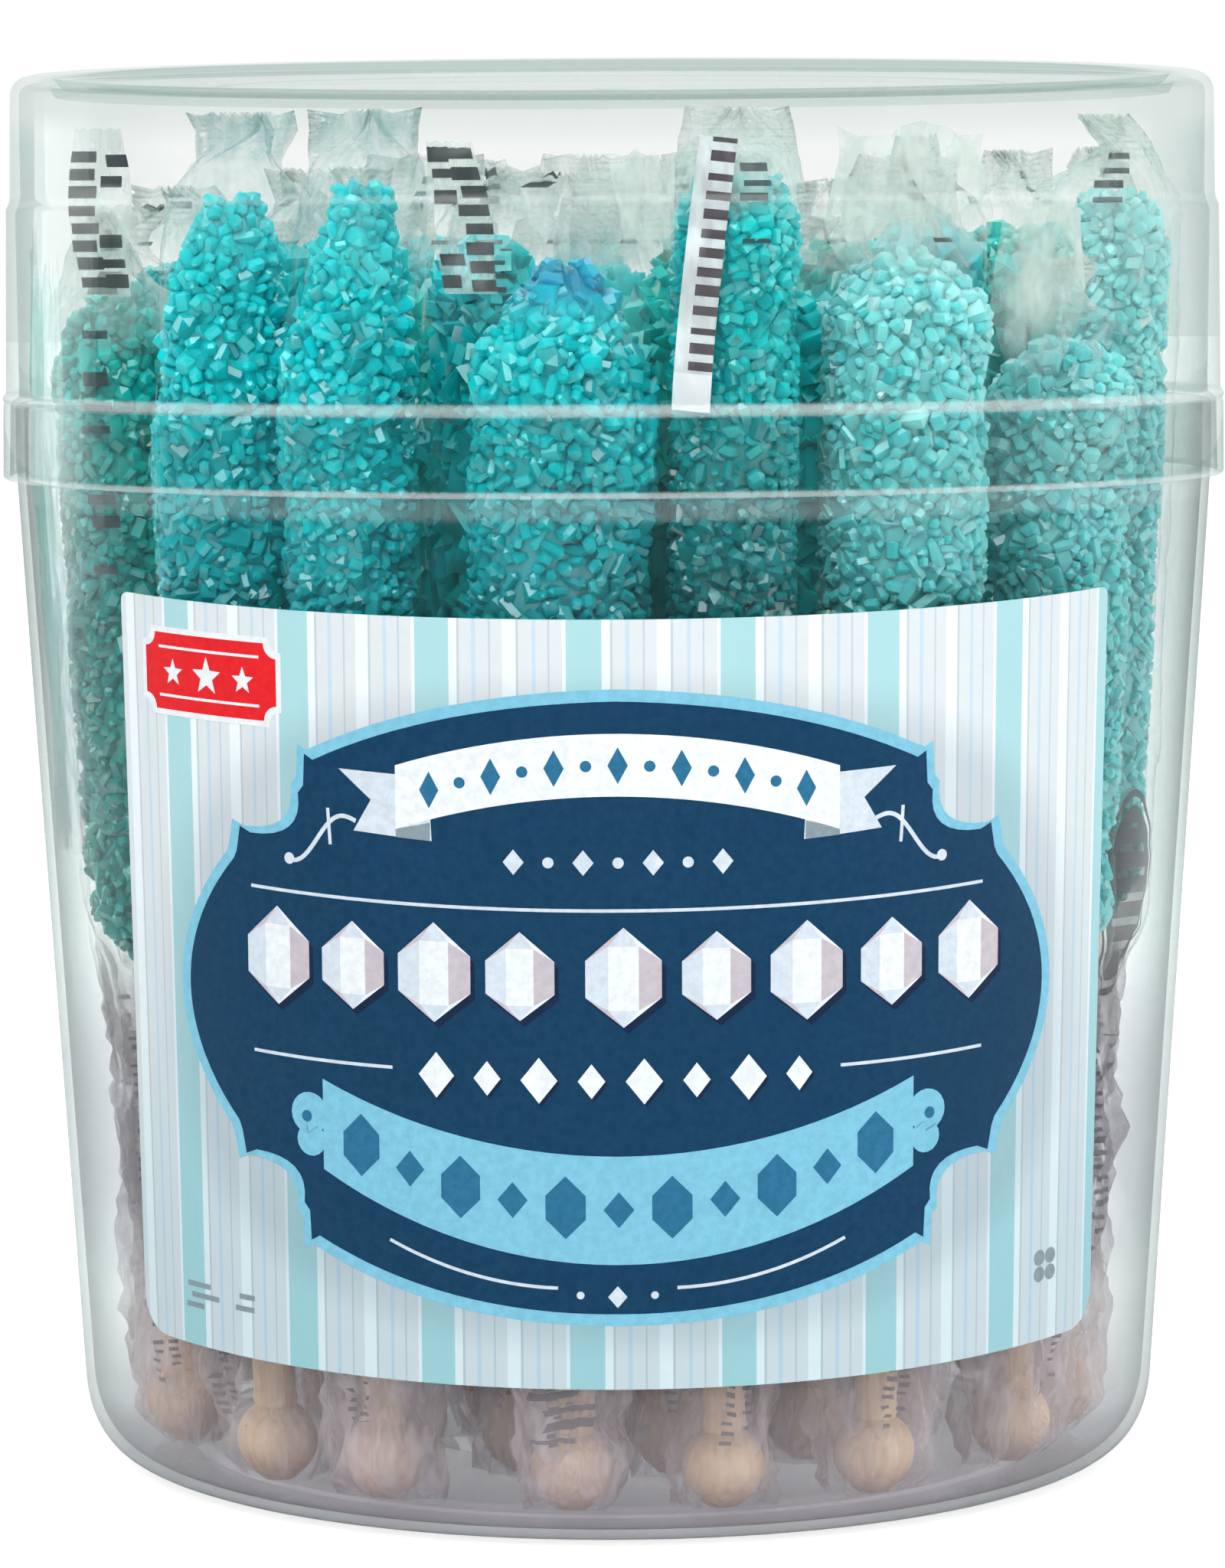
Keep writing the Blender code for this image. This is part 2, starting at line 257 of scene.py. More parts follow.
# ---------------------------------------------------------------------------
# materials
# ---------------------------------------------------------------------------
def clear_plastic(name, tint, edge, haze, highlight_lines, foot=1.0, rough=0.03):
    """Rigid clear plastic: it lets what is behind through unbent, mirrors more at a
    slant, greys towards its outline with painted shade that stands in for the bending
    it leaves out, and has a faint, streaky haze. Each highlight line is a painted
    highlight where a moulded edge catches the light: height, half width (mm) and
    strength. Below the foot height the thick heel greys what is behind it, painted shade."""
    m = Nodes(name)
    obj = m.add("TexCoord").outputs["Object"]
    wave = m.add("TexNoise", Vector=m.add("Mapping", Vector=obj, Scale=(42.0, 42.0, 16.0)).outputs[0], Scale=1.0, Detail=1.0, Roughness=0.5).outputs[0]
    bump = m.add("Bump", Height=wave, Strength=0.07, Distance=0.002)
    facing = m.add("LayerWeight", Blend=0.5).outputs["Facing"]
    slant = m.math("POWER", facing, 5.0)
    z = m.add("SeparateXYZ", Vector=obj).outputs[2]
    if foot <= 1.0:
        high = m.range(z, (LID_TOP - 9.0) * MM, (LID_TOP - 4.6) * MM, 0.0, 1.0, smooth=True)
        slant = m.math("MULTIPLY", slant, m.range(high, 0.0, 1.0, 1.0, 0.14))
    mirror = m.math("MULTIPLY_ADD", slant, 0.60, 0.0035)
    # painted shade: greyer towards the outline, standing in for the bending that is left out
    body = m.mix(m.math("POWER", facing, 4.0), tint, edge)
    clear = m.add("BsdfTransparent", Color=body)
    gloss = m.add("BsdfGlossy", Color=(1, 1, 1, 1), Roughness=rough, Normal=bump.outputs[0])
    dull = m.add("BsdfDiffuse", Color=m.mix(m.range(m.add("SeparateXYZ", Vector=obj).outputs[2], 20.0 * MM, 45.0 * MM, 0.0, 1.0), srgb(224, 214, 220), srgb(240, 244, 243)))
    cover = m.range(wave, 0.35, 0.75, haze * 0.3, haze * 1.8)
    if foot > 1.0:
        cover = m.math("MAXIMUM", cover, m.math("MULTIPLY", m.range(z, 3.2 * foot * MM, 0.3 * foot * MM, 0.0, 0.12, smooth=True), m.range(wave, 0.3, 0.6, 0.7, 1.0)))
    heel = m.range(z, foot * MM, 0.0, 0.0, 1.0, smooth=True)
    if foot > 1.0:
        # painted shade: a greyer belt in the wall round the loose ends of the wrappers
        belt = m.math("MULTIPLY", m.range(z, 5.6 * foot * MM, 3.8 * foot * MM, 0.0, 0.62, smooth=True), m.range(z, 1.9 * foot * MM, 2.7 * foot * MM, 0.0, 1.0, smooth=True))
        heel = m.math("MAXIMUM", heel, belt)
    # painted shade: the heel, and on the tub the belt, grey what is behind them
    body = m.mix(heel, body, m.mix(1.0, body, srgb(236, 234, 237), "MULTIPLY"))
    if foot <= 1.0:
        # the flat panel stays clear at a slant, the bends round it show as grey rings of painted shade
        flat = m.add("VectorMath", props={"operation": "LENGTH"}, i0=m.add("Mapping", Vector=obj, Scale=(1.0, 1.0, 0.0)).outputs[0]).outputs["Value"]
        inner = m.range(flat, 73.6 * MM, 72.8 * MM, 0.0, 1.0)
        body = m.mix(m.math("MULTIPLY", high, m.range(inner, 0.0, 1.0, 0.80, 0.88)), body, tint)
        ring = m.math("ABSOLUTE", m.math("SUBTRACT", flat, 74.6 * MM))
        ring = m.math("MAXIMUM", m.range(ring, 1.5 * MM, 0.5 * MM, 0.0, 1.0, smooth=True), m.range(flat, 79.0 * MM, 80.4 * MM, 0.0, 1.0, smooth=True))
        # fainter edge on, where many of them lie behind one another
        up = m.math("ABSOLUTE", m.add("SeparateXYZ", Vector=m.add("NewGeometry").outputs["True Normal"]).outputs[2])
        low_angle = m.math("MAXIMUM", m.range(facing, 0.66, 0.82, 0.0, 1.0), m.range(up, 0.35, 0.70, 1.0, 0.0))
        rim = m.mix(low_angle, srgb(212, 223, 221), srgb(238, 242, 241))
        body = m.mix(m.math("MULTIPLY", m.math("MULTIPLY", high, ring), m.range(low_angle, 0.0, 1.0, 1.0, 0.42)), body, m.mix(1.0, body, rim, "MULTIPLY"))
    m.put(clear.inputs["Color"], body)
    strength = m.range(wave, 0.30, 0.60, 0.82, 1.0)
    # painted highlight: a pale line round the wall at each listed height
    for height, half, power in highlight_lines:
        away = m.math("ABSOLUTE", m.math("SUBTRACT", z, height * MM))
        band = m.range(away, half * 0.35 * MM, half * MM, power, 0.0, smooth=True)
        cover = m.math("MAXIMUM", cover, m.math("MULTIPLY", band, strength))
    inside = m.shader_mix(cover, clear, dull)
    return m.done(m.shader_mix(mirror, inside, gloss))


def rock_candy(name, deep, mid, pale, seed, dim, lift, tip=None):
    """Coloured sugar crystals: every crystal its own shade, wet-looking faces, and
    the light softened inside them."""
    m = Nodes(name)
    geo = m.add("NewGeometry")
    tc = m.add("TexCoord")
    rnd = geo.outputs["Random Per Island"]
    shade = m.ramp(rnd, [(0.0, deep), (0.30, mid), (0.90, mid), (1.0, pale)])
    patch = m.add("TexNoise", props={"noise_dimensions": "4D"}, Vector=tc.outputs["Object"], W=seed, Scale=70.0, Detail=3.0, Roughness=0.55)
    shade = m.mix(m.range(patch.outputs[0], 0.56, 0.72, 0.0, 0.60), shade, deep)
    shade = m.mix(m.range(patch.outputs[0], 0.44, 0.30, 0.0, 0.30), shade, pale)
    z = m.add("SeparateXYZ", Vector=tc.outputs["Object"]).outputs[2]
    # painted shade: darker towards the deep colour lower down
    if dim > 0.0:
        shade = m.mix(m.range(z, 150.0 * MM, 118.0 * MM, 0.0, 0.70), shade, deep)
    # painted light: paler towards the top
    shade = m.mix(m.range(z, 152.0 * MM, 166.0 * MM, 0.0, lift, smooth=True), shade, pale)
    if tip is not None:
        blue = m.range(z, (tip - 9.0) * MM, (tip - 3.0) * MM, 0.0, 0.96, smooth=True)
    # painted light: paler along the edges of each crystal, where it turns from the view, as the clear tips are painted
    # paler above
    rim = m.add("LayerWeight", Blend=0.5).outputs["Facing"]
    shade = m.mix(m.range(rim, 0.30, 0.95, 0.0, 0.55, smooth=True), shade, pale)
    if tip is not None:
        shade = m.mix(blue, shade, m.mix(rnd, srgb(0, 146, 192), srgb(0, 178, 212)))
    # painted shade: packed close, the candies shade one another lower down, so they are painted darker there; a
    # negative dim paints them paler there instead, painted light
    shade = m.mix(m.range(z, 151.0 * MM, 131.0 * MM, 0.0, abs(dim), smooth=True), shade, (0.0, 0.0, 0.0, 1.0) if dim > 0.0 else pale)
    fine = m.add("TexNoise", Vector=tc.outputs["Object"], Scale=1400.0, Detail=3.0, Roughness=0.7)
    bump = m.add("Bump", Height=fine.outputs[0], Strength=0.20, Distance=0.00025)
    rough = m.range(rnd, 0.0, 1.0, 0.04, 0.16)
    p = m.add("BsdfPrincipled")
    m.put(p.inputs["Base Color"], shade)
    m.put(p.inputs["Roughness"], rough)
    m.put(p.inputs["IOR"], 1.54)
    m.put(p.inputs["Subsurface Weight"], 0.55)
    m.put(p.inputs["Subsurface Radius"], (0.35, 1.0, 1.0))
    m.put(p.inputs["Subsurface Scale"], 0.0035)
    m.put(p.inputs["Specular IOR Level"], 0.60)
    m.put(p.inputs["Normal"], bump.outputs[0])
    return m.done(p.outputs[0])


def wood(name):
    m = Nodes(name)
    tc = m.add("TexCoord")
    mp = m.add("Mapping", Vector=tc.outputs["Object"], Scale=(900.0, 900.0, 45.0))
    grain = m.add("TexNoise", Vector=mp.outputs[0], Scale=1.0, Detail=5.0, Roughness=0.62, Distortion=0.6)
    big = m.add("TexNoise", Vector=tc.outputs["Object"], Scale=60.0, Detail=2.0)
    col = m.ramp(grain.outputs[0], [(0.25, srgb(208, 162, 114)), (0.5, srgb(244, 208, 166)), (0.8, srgb(252, 232, 202))])
    col = m.mix(m.range(big.outputs[0], 0.4, 0.7, 0.0, 0.5), col, srgb(206, 160, 116))
    bump = m.add("Bump", Height=grain.outputs[0], Strength=0.35, Distance=0.0002)
    p = m.add("BsdfPrincipled", Roughness=0.55)
    m.put(p.inputs["Base Color"], col)
    m.put(p.inputs["Normal"], bump.outputs[0])
    return m.done(p.outputs[0])


def film(name, kind, seed):
    """Thin clear wrapper, creased and milky where it is gathered, with fine ridges
    across its crimped ends and plain dark bars printed along it. The print layer runs
    round the wrapper and up it, in tenths of a metre."""
    m = Nodes(name)
    tc = m.add("TexCoord")
    obj = tc.outputs["Object"]
    sep = m.add("SeparateXYZ", Vector=m.add("UVMap", props={"uv_map": "print"}).outputs[0])
    u = m.math("MULTIPLY", sep.outputs[0], 100.0)          # both in millimetres
    v = m.math("MULTIPLY", sep.outputs[1], 100.0)
    data = m.add("SeparateColor", Color=m.add("VertexColor", props={"layer_name": "gather"}).outputs[0])
    gather, crimp = data.outputs[0], data.outputs[1]
    st = m.add("Mapping", Vector=obj, Scale=(250.0, 250.0, 80.0))
    crease = m.add("TexNoise", Vector=st.outputs[0], Scale=1.0, Detail=2.0, Roughness=0.7)
    ridge = m.math("SINE", m.math("MULTIPLY", v, math.tau / 0.95))
    height = m.math("MULTIPLY_ADD", m.math("MULTIPLY", ridge, crimp), 0.22, crease.outputs[0])
    bump = m.add("Bump", Height=height, Strength=0.6, Distance=0.0012)
    facing = m.add("LayerWeight", Blend=0.5, Normal=bump.outputs[0]).outputs["Facing"]
    slant = m.math("POWER", facing, 4.0)
    mirror = m.math("MULTIPLY_ADD", slant, 0.30, 0.005, clamp=True)
    clear = m.add("BsdfTransparent", Color=(0.985, 0.99, 0.99, 1))
    gloss = m.add("BsdfGlossy", Color=(1, 1, 1, 1), Roughness=0.10, Normal=bump.outputs[0])
    # milk tone up the wrapper: lilac-white at the foot, then greyer through the middle, painted shade of the packed
    # candies, and whitest at the top, painted light under the lid; the teal kind's top takes the sugar's colour, a
    # painted colour cast
    tone = m.ramp(m.range(v, 0.0, 180.0, 0.0, 1.0), [(0.10, srgb(238, 230, 238)), (0.22, srgb(190, 189, 197)), (0.62, srgb(180, 184, 184)), (0.88, srgb(178, 214, 211) if kind == "painted_teal" else srgb(232, 240, 235))])
    milk = m.shader_mix(0.45, m.add("BsdfDiffuse", Color=tone, Normal=bump.outputs[0]).outputs[0], m.add("BsdfTranslucent", Color=tone, Normal=bump.outputs[0]).outputs[0])
    lines = m.range(crease.outputs[0], 0.42, 0.66, 0.0, 1.0)
    haze = m.math("MULTIPLY", m.math("MULTIPLY_ADD", lines, 0.70, 0.30), gather)
    haze = m.math("MULTIPLY_ADD", haze, 0.85, 0.003, clamp=True)
    if kind == "pressed":
        # its milk is painted the teal of the sugar it lies on, a painted colour cast: clear from the front, dense at a
        # slant
        milk = m.add("BsdfDiffuse", Color=m.mix(m.range(v, 95.0, 125.0, 0.0, 1.0), srgb(150, 196, 196), srgb(122, 206, 201)), Normal=bump.outputs[0])
        haze = m.math("MULTIPLY", m.math("MULTIPLY_ADD", lines, 0.25, 0.75), m.math("MULTIPLY", gather, m.range(facing, 0.30, 0.85, 0.03, 1.0, smooth=True)))
    body = m.shader_mix(mirror, m.shader_mix(haze, clear, milk), gloss)

    def between(x, lo, hi):
        return m.math("LESS_THAN", m.math("ABSOLUTE", m.math("SUBTRACT", x, (lo + hi) / 2)), (hi - lo) / 2)

    def bars(u0, u1, v0, v1, pitch, share, salt, fat=0.30):
        """Bars of uneven length, side by side up a column, with some left out."""
        step = m.math("DIVIDE", v, pitch)
        row = m.math("FLOOR", step)
        cell = m.add("CombineXYZ", X=row, Y=seed + salt)
        dice = m.add("TexWhiteNoise", props={"noise_dimensions": "2D"}, Vector=cell.outputs[0])
        rolled = m.add("SeparateColor", Color=dice.outputs["Color"])
        thick = m.math("MULTIPLY_ADD", rolled.outputs[0], 0.30, fat)
        on = m.math("MULTIPLY", m.math("LESS_THAN", m.math("FRACT", step), thick), m.math("LESS_THAN", rolled.outputs[1], share))
        shift = m.math("MULTIPLY", m.math("SUBTRACT", rolled.outputs[2], 0.5), (u1 - u0) * 0.35)
        area = m.math("MULTIPLY", between(m.math("ADD", u, shift), u0 + 0.1 * (u1 - u0), u1 - 0.1 * (u1 - u0)), between(v, v0, v1))
        return m.math("MULTIPLY", on, area)

    if kind == "pressed":
        return m.done(body)

    mask = bars(-3.4, -1.2, 12.0, 61.0, 1.25, 0.80, 1.0)
    mask = m.math("MAXIMUM", mask, bars(-0.2, 1.5, 14.0, 57.0, 1.05, 0.72, 2.0))
    if kind == "column":
        mask = m.math("MAXIMUM", mask, bars(-4.2, 2.4, 157.5, 176.0, 1.9, 0.92, 3.0))
        mask = m.math("MAXIMUM", mask, bars(-3.6, 1.4, 121.0, 153.0, 3.1, 0.55, 4.0))
    elif kind == "flag":
        mask = m.math("MAXIMUM", mask, bars(-3.9, 0.6, 158.5, 177.0, 2.3, 0.95, 3.0, 0.46))
        mask = m.math("MAXIMUM", mask, bars(0.2, 3.9, 158.5, 176.0, 2.6, 0.86, 4.0, 0.40))
    elif kind == "side":
        mask = m.math("MAXIMUM", mask, bars(-9.8, -5.4, 171.0, 176.5, 1.5, 0.95, 3.0))
        mask = m.math("MAXIMUM", mask, bars(-9.4, -6.4, 158.0, 163.5, 1.7, 0.95, 5.0))
        mask = m.math("MAXIMUM", mask, bars(-6.5, 4.5, 13.0, 21.0, 2.1, 0.92, 8.0))
    elif kind == "oval":
        du = m.math("DIVIDE", m.math("SUBTRACT", u, 7.4), 4.4)
        dv = m.math("DIVIDE", m.math("SUBTRACT", v, 77.0), 14.0)
        dist = m.math("ADD", m.math("MULTIPLY", du, du), m.math("MULTIPLY", dv, dv))
        mask = m.math("MAXIMUM", mask, m.math("LESS_THAN", dist, 1.0))
        mask = m.math("SUBTRACT", mask, m.math("MULTIPLY", between(dist, 0.72, 0.86), 1.0), clamp=True)
        blank = m.math("MULTIPLY", m.math("LESS_THAN", m.math("FRACT", m.math("DIVIDE", v, 3.3)), 0.34), m.math("LESS_THAN", dist, 0.46))
        mask = m.math("SUBTRACT", mask, m.math("MULTIPLY", blank, 0.3), clamp=True)
        mask = m.math("MAXIMUM", mask, bars(1.8, 5.0, 28.0, 61.0, 1.5, 0.86, 6.0))
        mask = m.math("MAXIMUM", mask, bars(6.0, 11.0, 30.0, 58.0, 1.7, 0.80, 7.0))
        mask = m.math("MAXIMUM", mask, bars(-2.5, 2.5, 168.0, 176.0, 1.9, 0.8, 3.0))
    elif kind == "plain":
        mask = m.math("MAXIMUM", mask, bars(-2.6, 1.9, 164.0, 174.0, 1.8, 0.75, 3.0))
    faded = m.math("MULTIPLY", mask, 0.86)
    ink_tone = m.mix(m.range(v, 90.0, 130.0, 0.0, 1.0), m.mix(m.range(v, 61.0, 62.0, 0.0, 1.0), srgb(82, 80, 92), srgb(48, 50, 56)), srgb(38, 50, 54))
    print_ink = m.add("BsdfPrincipled", Roughness=0.35)
    m.put(print_ink.inputs["Base Color"], ink_tone)
    return m.done(m.shader_mix(faded, body, print_ink.outputs[0]))


def seal_strip(name):
    """The wrapper's long seam where it stands out as a flat flap: milky film with a
    ladder of dark bars down one side and a blank end."""
    m = Nodes(name)
    tc = m.add("TexCoord")
    sep = m.add("SeparateXYZ", Vector=m.add("UVMap", props={"uv_map": "print"}).outputs[0])
    u = m.math("MULTIPLY", sep.outputs[0], 100.0)
    v = m.math("MULTIPLY", sep.outputs[1], 100.0)
    noise = m.add("TexNoise", Vector=m.add("Mapping", Vector=tc.outputs["Object"], Scale=(600.0, 600.0, 160.0)).outputs[0], Scale=1.0, Detail=3.0)
    bump = m.add("Bump", Height=noise.outputs[0], Strength=0.5, Distance=0.0005)
    p = m.add("BsdfPrincipled", Roughness=0.28)
    step = m.math("DIVIDE", v, 2.35)
    dice = m.add("TexWhiteNoise", props={"noise_dimensions": "1D"}, W=m.math("FLOOR", step))
    bar = m.math("LESS_THAN", m.math("FRACT", step), m.math("MULTIPLY_ADD", dice.outputs["Value"], 0.28, 0.34))
    bar = m.math("MULTIPLY", bar, m.math("GREATER_THAN", u, -0.7))
    bar = m.math("MULTIPLY", bar, m.math("GREATER_THAN", v, 5.0))
    col = m.mix(m.range(noise.outputs[0], 0.35, 0.7, 0.0, 1.0), srgb(212, 224, 226), srgb(190, 192, 198))
    col = m.mix(m.math("LESS_THAN", v, 4.6), col, srgb(232, 236, 240))
    col = m.mix(bar, col, srgb(80, 74, 80))
    m.put(p.inputs["Base Color"], col)
    m.put(p.inputs["Normal"], bump.outputs[0])
    return m.done(m.shader_mix(0.90, m.add("BsdfTransparent").outputs[0], p.outputs[0]))


def ink(name, colour, rough=0.33):
    """Printed ink on coated paper: a fine screen in the tone and a satin varnish."""
    m = Nodes(name)
    tc = m.add("TexCoord")
    n1 = m.add("TexNoise", Vector=tc.outputs["Object"], Scale=900.0, Detail=3.0, Roughness=0.6)
    n2 = m.add("TexNoise", Vector=tc.outputs["Object"], Scale=45.0, Detail=2.0)
    c = srgb(*colour)
    dark = tuple(x * 0.90 for x in c[:3])
    light = tuple(min(1.0, x * 1.06 + 0.004) for x in c[:3])
    col = m.mix(m.range(n1.outputs[0], 0.35, 0.65, 0.0, 1.0), dark, light)
    col = m.mix(m.range(n2.outputs[0], 0.3, 0.7, 0.0, 0.35), col, dark)
    bump = m.add("Bump", Height=n1.outputs[0], Strength=0.08, Distance=0.0001)
    p = m.add("BsdfPrincipled", Roughness=rough)
    m.put(p.inputs["Base Color"], col)
    m.put(p.inputs["Normal"], bump.outputs[0])
    m.put(p.inputs["Specular IOR Level"], 0.13)
    return m.done(p.outputs[0])


def striped_paper(name):
    """Coated label stock printed with uneven stripes, softly shaded round the plaque."""
    m = Nodes(name)
    tc = m.add("TexCoord")
    uvn = m.add("UVMap", props={"uv_map": "print"})
    sep = m.add("SeparateXYZ", Vector=uvn.outputs[0])
    u, v = sep.outputs[0], sep.outputs[1]
    ground, aqua, bright = srgb(206, 214, 217), srgb(160, 204, 209), srgb(222, 232, 235)
    grey, blue = srgb(182, 194, 200), srgb(184, 206, 220)
    x = m.math("FRACT", m.math("DIVIDE", m.math("ADD", u, 10.0 - 0.019), 0.1895))
    stripes = m.ramp(
        x,
        [
            (0.000, bright), (0.030, grey), (0.045, ground), (0.135, blue), (0.160, ground),
            (0.235, grey), (0.247, ground), (0.330, bright), (0.352, aqua), (0.585, bright),
            (0.640, grey), (0.655, ground), (0.735, blue), (0.765, ground), (0.850, grey),
            (0.862, ground), (0.940, bright),
        ],
        "CONSTANT",
    )
    # drop shadow round the plaque
    du = m.math("DIVIDE", m.math("ADD", u, -0.008), 0.625)
    dv = m.math("DIVIDE", m.math("ADD", v, 0.012), 0.405)
    d = m.math("SQRT", m.math("ADD", m.math("POWER", m.math("ABSOLUTE", du), 2.5), m.math("POWER", m.math("ABSOLUTE", dv), 2.5)))
    shadow = m.range(d, 0.93, 1.13, 0.34, 0.0, smooth=True)
    # painted shade: the stripes darken towards the foot of the label
    col = m.mix(m.range(v, 0.30, -0.40, 0.0, 0.62, smooth=True), stripes, m.mix(1.0, stripes, (0.62, 0.74, 0.78, 1.0), "MULTIPLY"))
    col = m.mix(shadow, col, srgb(120, 138, 150))
    fibre = m.add("TexNoise", Vector=tc.outputs["Object"], Scale=700.0, Detail=4.0, Roughness=0.6)
    col = m.mix(m.range(fibre.outputs[0], 0.4, 0.7, 0.0, 0.10), col, srgb(180, 190, 196))
    bump = m.add("Bump", Height=fibre.outputs[0], Strength=0.10, Distance=0.0001)
    p = m.add("BsdfPrincipled", Roughness=0.36)
    m.put(p.inputs["Base Color"], col)
    m.put(p.inputs["Normal"], bump.outputs[0])
    m.put(p.inputs["Specular IOR Level"], 0.13)
    return m.done(p.outputs[0])


def floor_material():
    """White table top, lit from within a little so that it meets the white behind."""
    m = Nodes("floor")
    tc = m.add("TexCoord")
    n = m.add("TexNoise", Vector=tc.outputs["Object"], Scale=6.0, Detail=2.0)
    p = m.add("BsdfPrincipled", Roughness=0.8)
    m.put(p.inputs["Base Color"], m.mix(m.range(n.outputs[0], 0.3, 0.7, 0.0, 0.3), (0.82, 0.82, 0.82, 1), (0.80, 0.805, 0.81, 1)))
    m.put(p.inputs["Specular IOR Level"], 0.1)
    glow = m.add("Emission", Color=(1, 1, 1, 1), Strength=0.62)
    seen = m.add("LightPath").outputs["Is Camera Ray"]
    none = m.add("Emission", Color=(0, 0, 0, 1), Strength=0.0)
    add = m.nt.nodes.new("ShaderNodeAddShader")
    m.put(add.inputs[0], p.outputs[0])
    m.put(add.inputs[1], m.shader_mix(seen, none.outputs[0], glow.outputs[0]))
    return m.done(add.outputs[0])


# ---------------------------------------------------------------------------
# tub and lid
# ---------------------------------------------------------------------------
def arc(cx, cz, r, a0, a1, steps):
    return [(cx + r * math.cos(math.radians(a0 + (a1 - a0) * i / steps)), cz + r * math.sin(math.radians(a0 + (a1 - a0) * i / steps))) for i in range(steps + 1)]


def bend(p0, p1, p2, steps):
    out = []
    for i in range(steps + 1):
        t = i / steps
        out.append(tuple((1 - t) ** 2 * a + 2 * t * (1 - t) * b + t * t * c for a, b, c in zip(p0, p1, p2)))
    return out


def tub_profile():
    neck = wall_r(REF_Z) + 0.1
    inner_heel = bend((FOOT_OUT - 0.3, WALL), (wall_r(0) - WALL - 0.6, WALL + 0.4), (wall_r(HEEL_Z + 0.6) - WALL, HEEL_Z + 0.6), 14)
    outer_heel = bend((wall_r(HEEL_Z), HEEL_Z), (wall_r(0) - 0.4, 0.3), (FOOT_OUT, 0.0), 14)
    floor_z = BASE_RISE + WALL
    pts = [(0.0, floor_z - 0.5), (2.2, floor_z - 0.5), (2.8, floor_z)]       # gate mark in the middle of the base
    pts += [(30.0, floor_z), (30.3, floor_z + 0.15), (31.2, floor_z + 0.15), (31.5, floor_z)]
    pts += bend((FOOT_IN - 1.6, floor_z), (FOOT_IN - 0.4, floor_z), (FOOT_IN + 0.4, WALL + 0.3), 5)
    pts += inner_heel
    pts += [(wall_r(60.0) - WALL, 60.0), (wall_r(110.0) - WALL, 110.0)]
    pts += [(neck - WALL, REF_Z + 1.0)]
    pts += arc(neck - 0.6, TUB_TOP - 0.6, 0.6, 180.0, 0.0, 8)
    pts += [(neck, REF_Z + 1.6), (wall_r(REF_Z) - 0.02, REF_Z + 0.4), (wall_r(110.0), 110.0), (wall_r(60.0), 60.0)]
    pts += outer_heel
    pts += bend((FOOT_IN + 0.2, 0.0), (FOOT_IN - 1.0, 0.1), (FOOT_IN - 1.6, BASE_RISE), 5)
    pts += [(31.5, BASE_RISE), (0.0, BASE_RISE)]
    return pts


def lid_profile():
    c, top_r = CORNER, R_TOP
    floor_z = LID_TOP - PANEL_DROP
    pts = [(0.0, floor_z - 0.35), (2.0, floor_z - 0.35), (2.6, floor_z)]
    pts += [(52.0, floor_z), (52.3, floor_z + 0.2), (53.4, floor_z + 0.2), (53.7, floor_z)]
    pts += bend((PANEL_R - 0.8, floor_z), (PANEL_R + 0.1, floor_z), (PANEL_R + 0.6, floor_z + 0.7), 4)
    pts += bend((PANEL_R + 1.0, LID_TOP - 0.35), (PANEL_R + 1.3, LID_TOP), (PANEL_R + 1.8, LID_TOP), 3)
    pts += arc(top_r - c, LID_TOP - c, c, 90.0, 0.0, 10)
    pts += bend((R_TOP + 0.22, STEP_Z + 1.0), (R_TOP + 0.25, STEP_Z + 0.3), (R_MID - 0.35, STEP_Z - 0.5), 5)
    pts += [(R_MID - 0.02, BEAD_Z + 1.0)]
    pts += arc(R_MID - 0.15, BEAD_Z, 0.62, 62.0, -52.0, 8)
    pts += [(R_SKIRT - 0.14, BEAD_Z - 1.0)]
    pts += [(R_SKIRT - 0.02, SKIRT_Z + 0.9)]
    pts += arc(R_SKIRT - 0.45, SKIRT_Z + 0.45, 0.45, 0.0, -180.0, 8)
    pts += [(R_SKIRT - 1.1, BEAD_Z - 0.6), (R_MID - 1.75, BEAD_Z + 0.3), (R_MID - 1.8, BEAD_Z + 2.0)]
    pts += bend((R_MID - 1.55, STEP_Z - 1.0), (R_TOP - WALL + 0.2, STEP_Z), (R_TOP - WALL, STEP_Z + 1.0), 4)
    pts += arc(top_r - c, LID_TOP - c, c - WALL, 0.0, 90.0, 8)
    pts += [(PANEL_R + 2.2, LID_TOP - WALL), (PANEL_R + 1.6, LID_TOP - WALL - 0.15), (PANEL_R + 1.0, floor_z - WALL + 0.1), (PANEL_R + 0.2, floor_z - WALL)]
    pts += [(30.0, floor_z - WALL), (0.0, floor_z - WALL)]
    return pts


# ---------------------------------------------------------------------------
# wrapped candies
# ---------------------------------------------------------------------------
def levels(name):
    """A candy node's rings: heights, centres and widest half widths, in millimetres."""
    co = np.array([v.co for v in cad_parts[name].data.vertices], float) / MM
    order = np.argsort(co[:, 2])
    co = co[order]
    groups, start = [], 0
    for i in range(1, len(co) + 1):
        if i == len(co) or co[i, 2] - co[i - 1, 2] > 0.3:
            groups.append(co[start:i])
            start = i
    zs, cs, rs, last = [], [], [], None
    for g in groups:
        xy = np.unique(np.round(g[:, :2], 2), axis=0)
        c = (xy.max(0) + xy.min(0)) / 2 if len(xy) > 2 else xy.mean(0)
        c = xy.mean(0)
        zs.append(g[:, 2].mean())
        cs.append(c)
        rs.append(np.linalg.norm(xy - c, axis=1).max())
        last = xy - c
    far = last[np.argmax(np.linalg.norm(last, axis=1))]
    return np.array(zs), np.array(cs), np.array(rs), math.atan2(far[1], far[0])


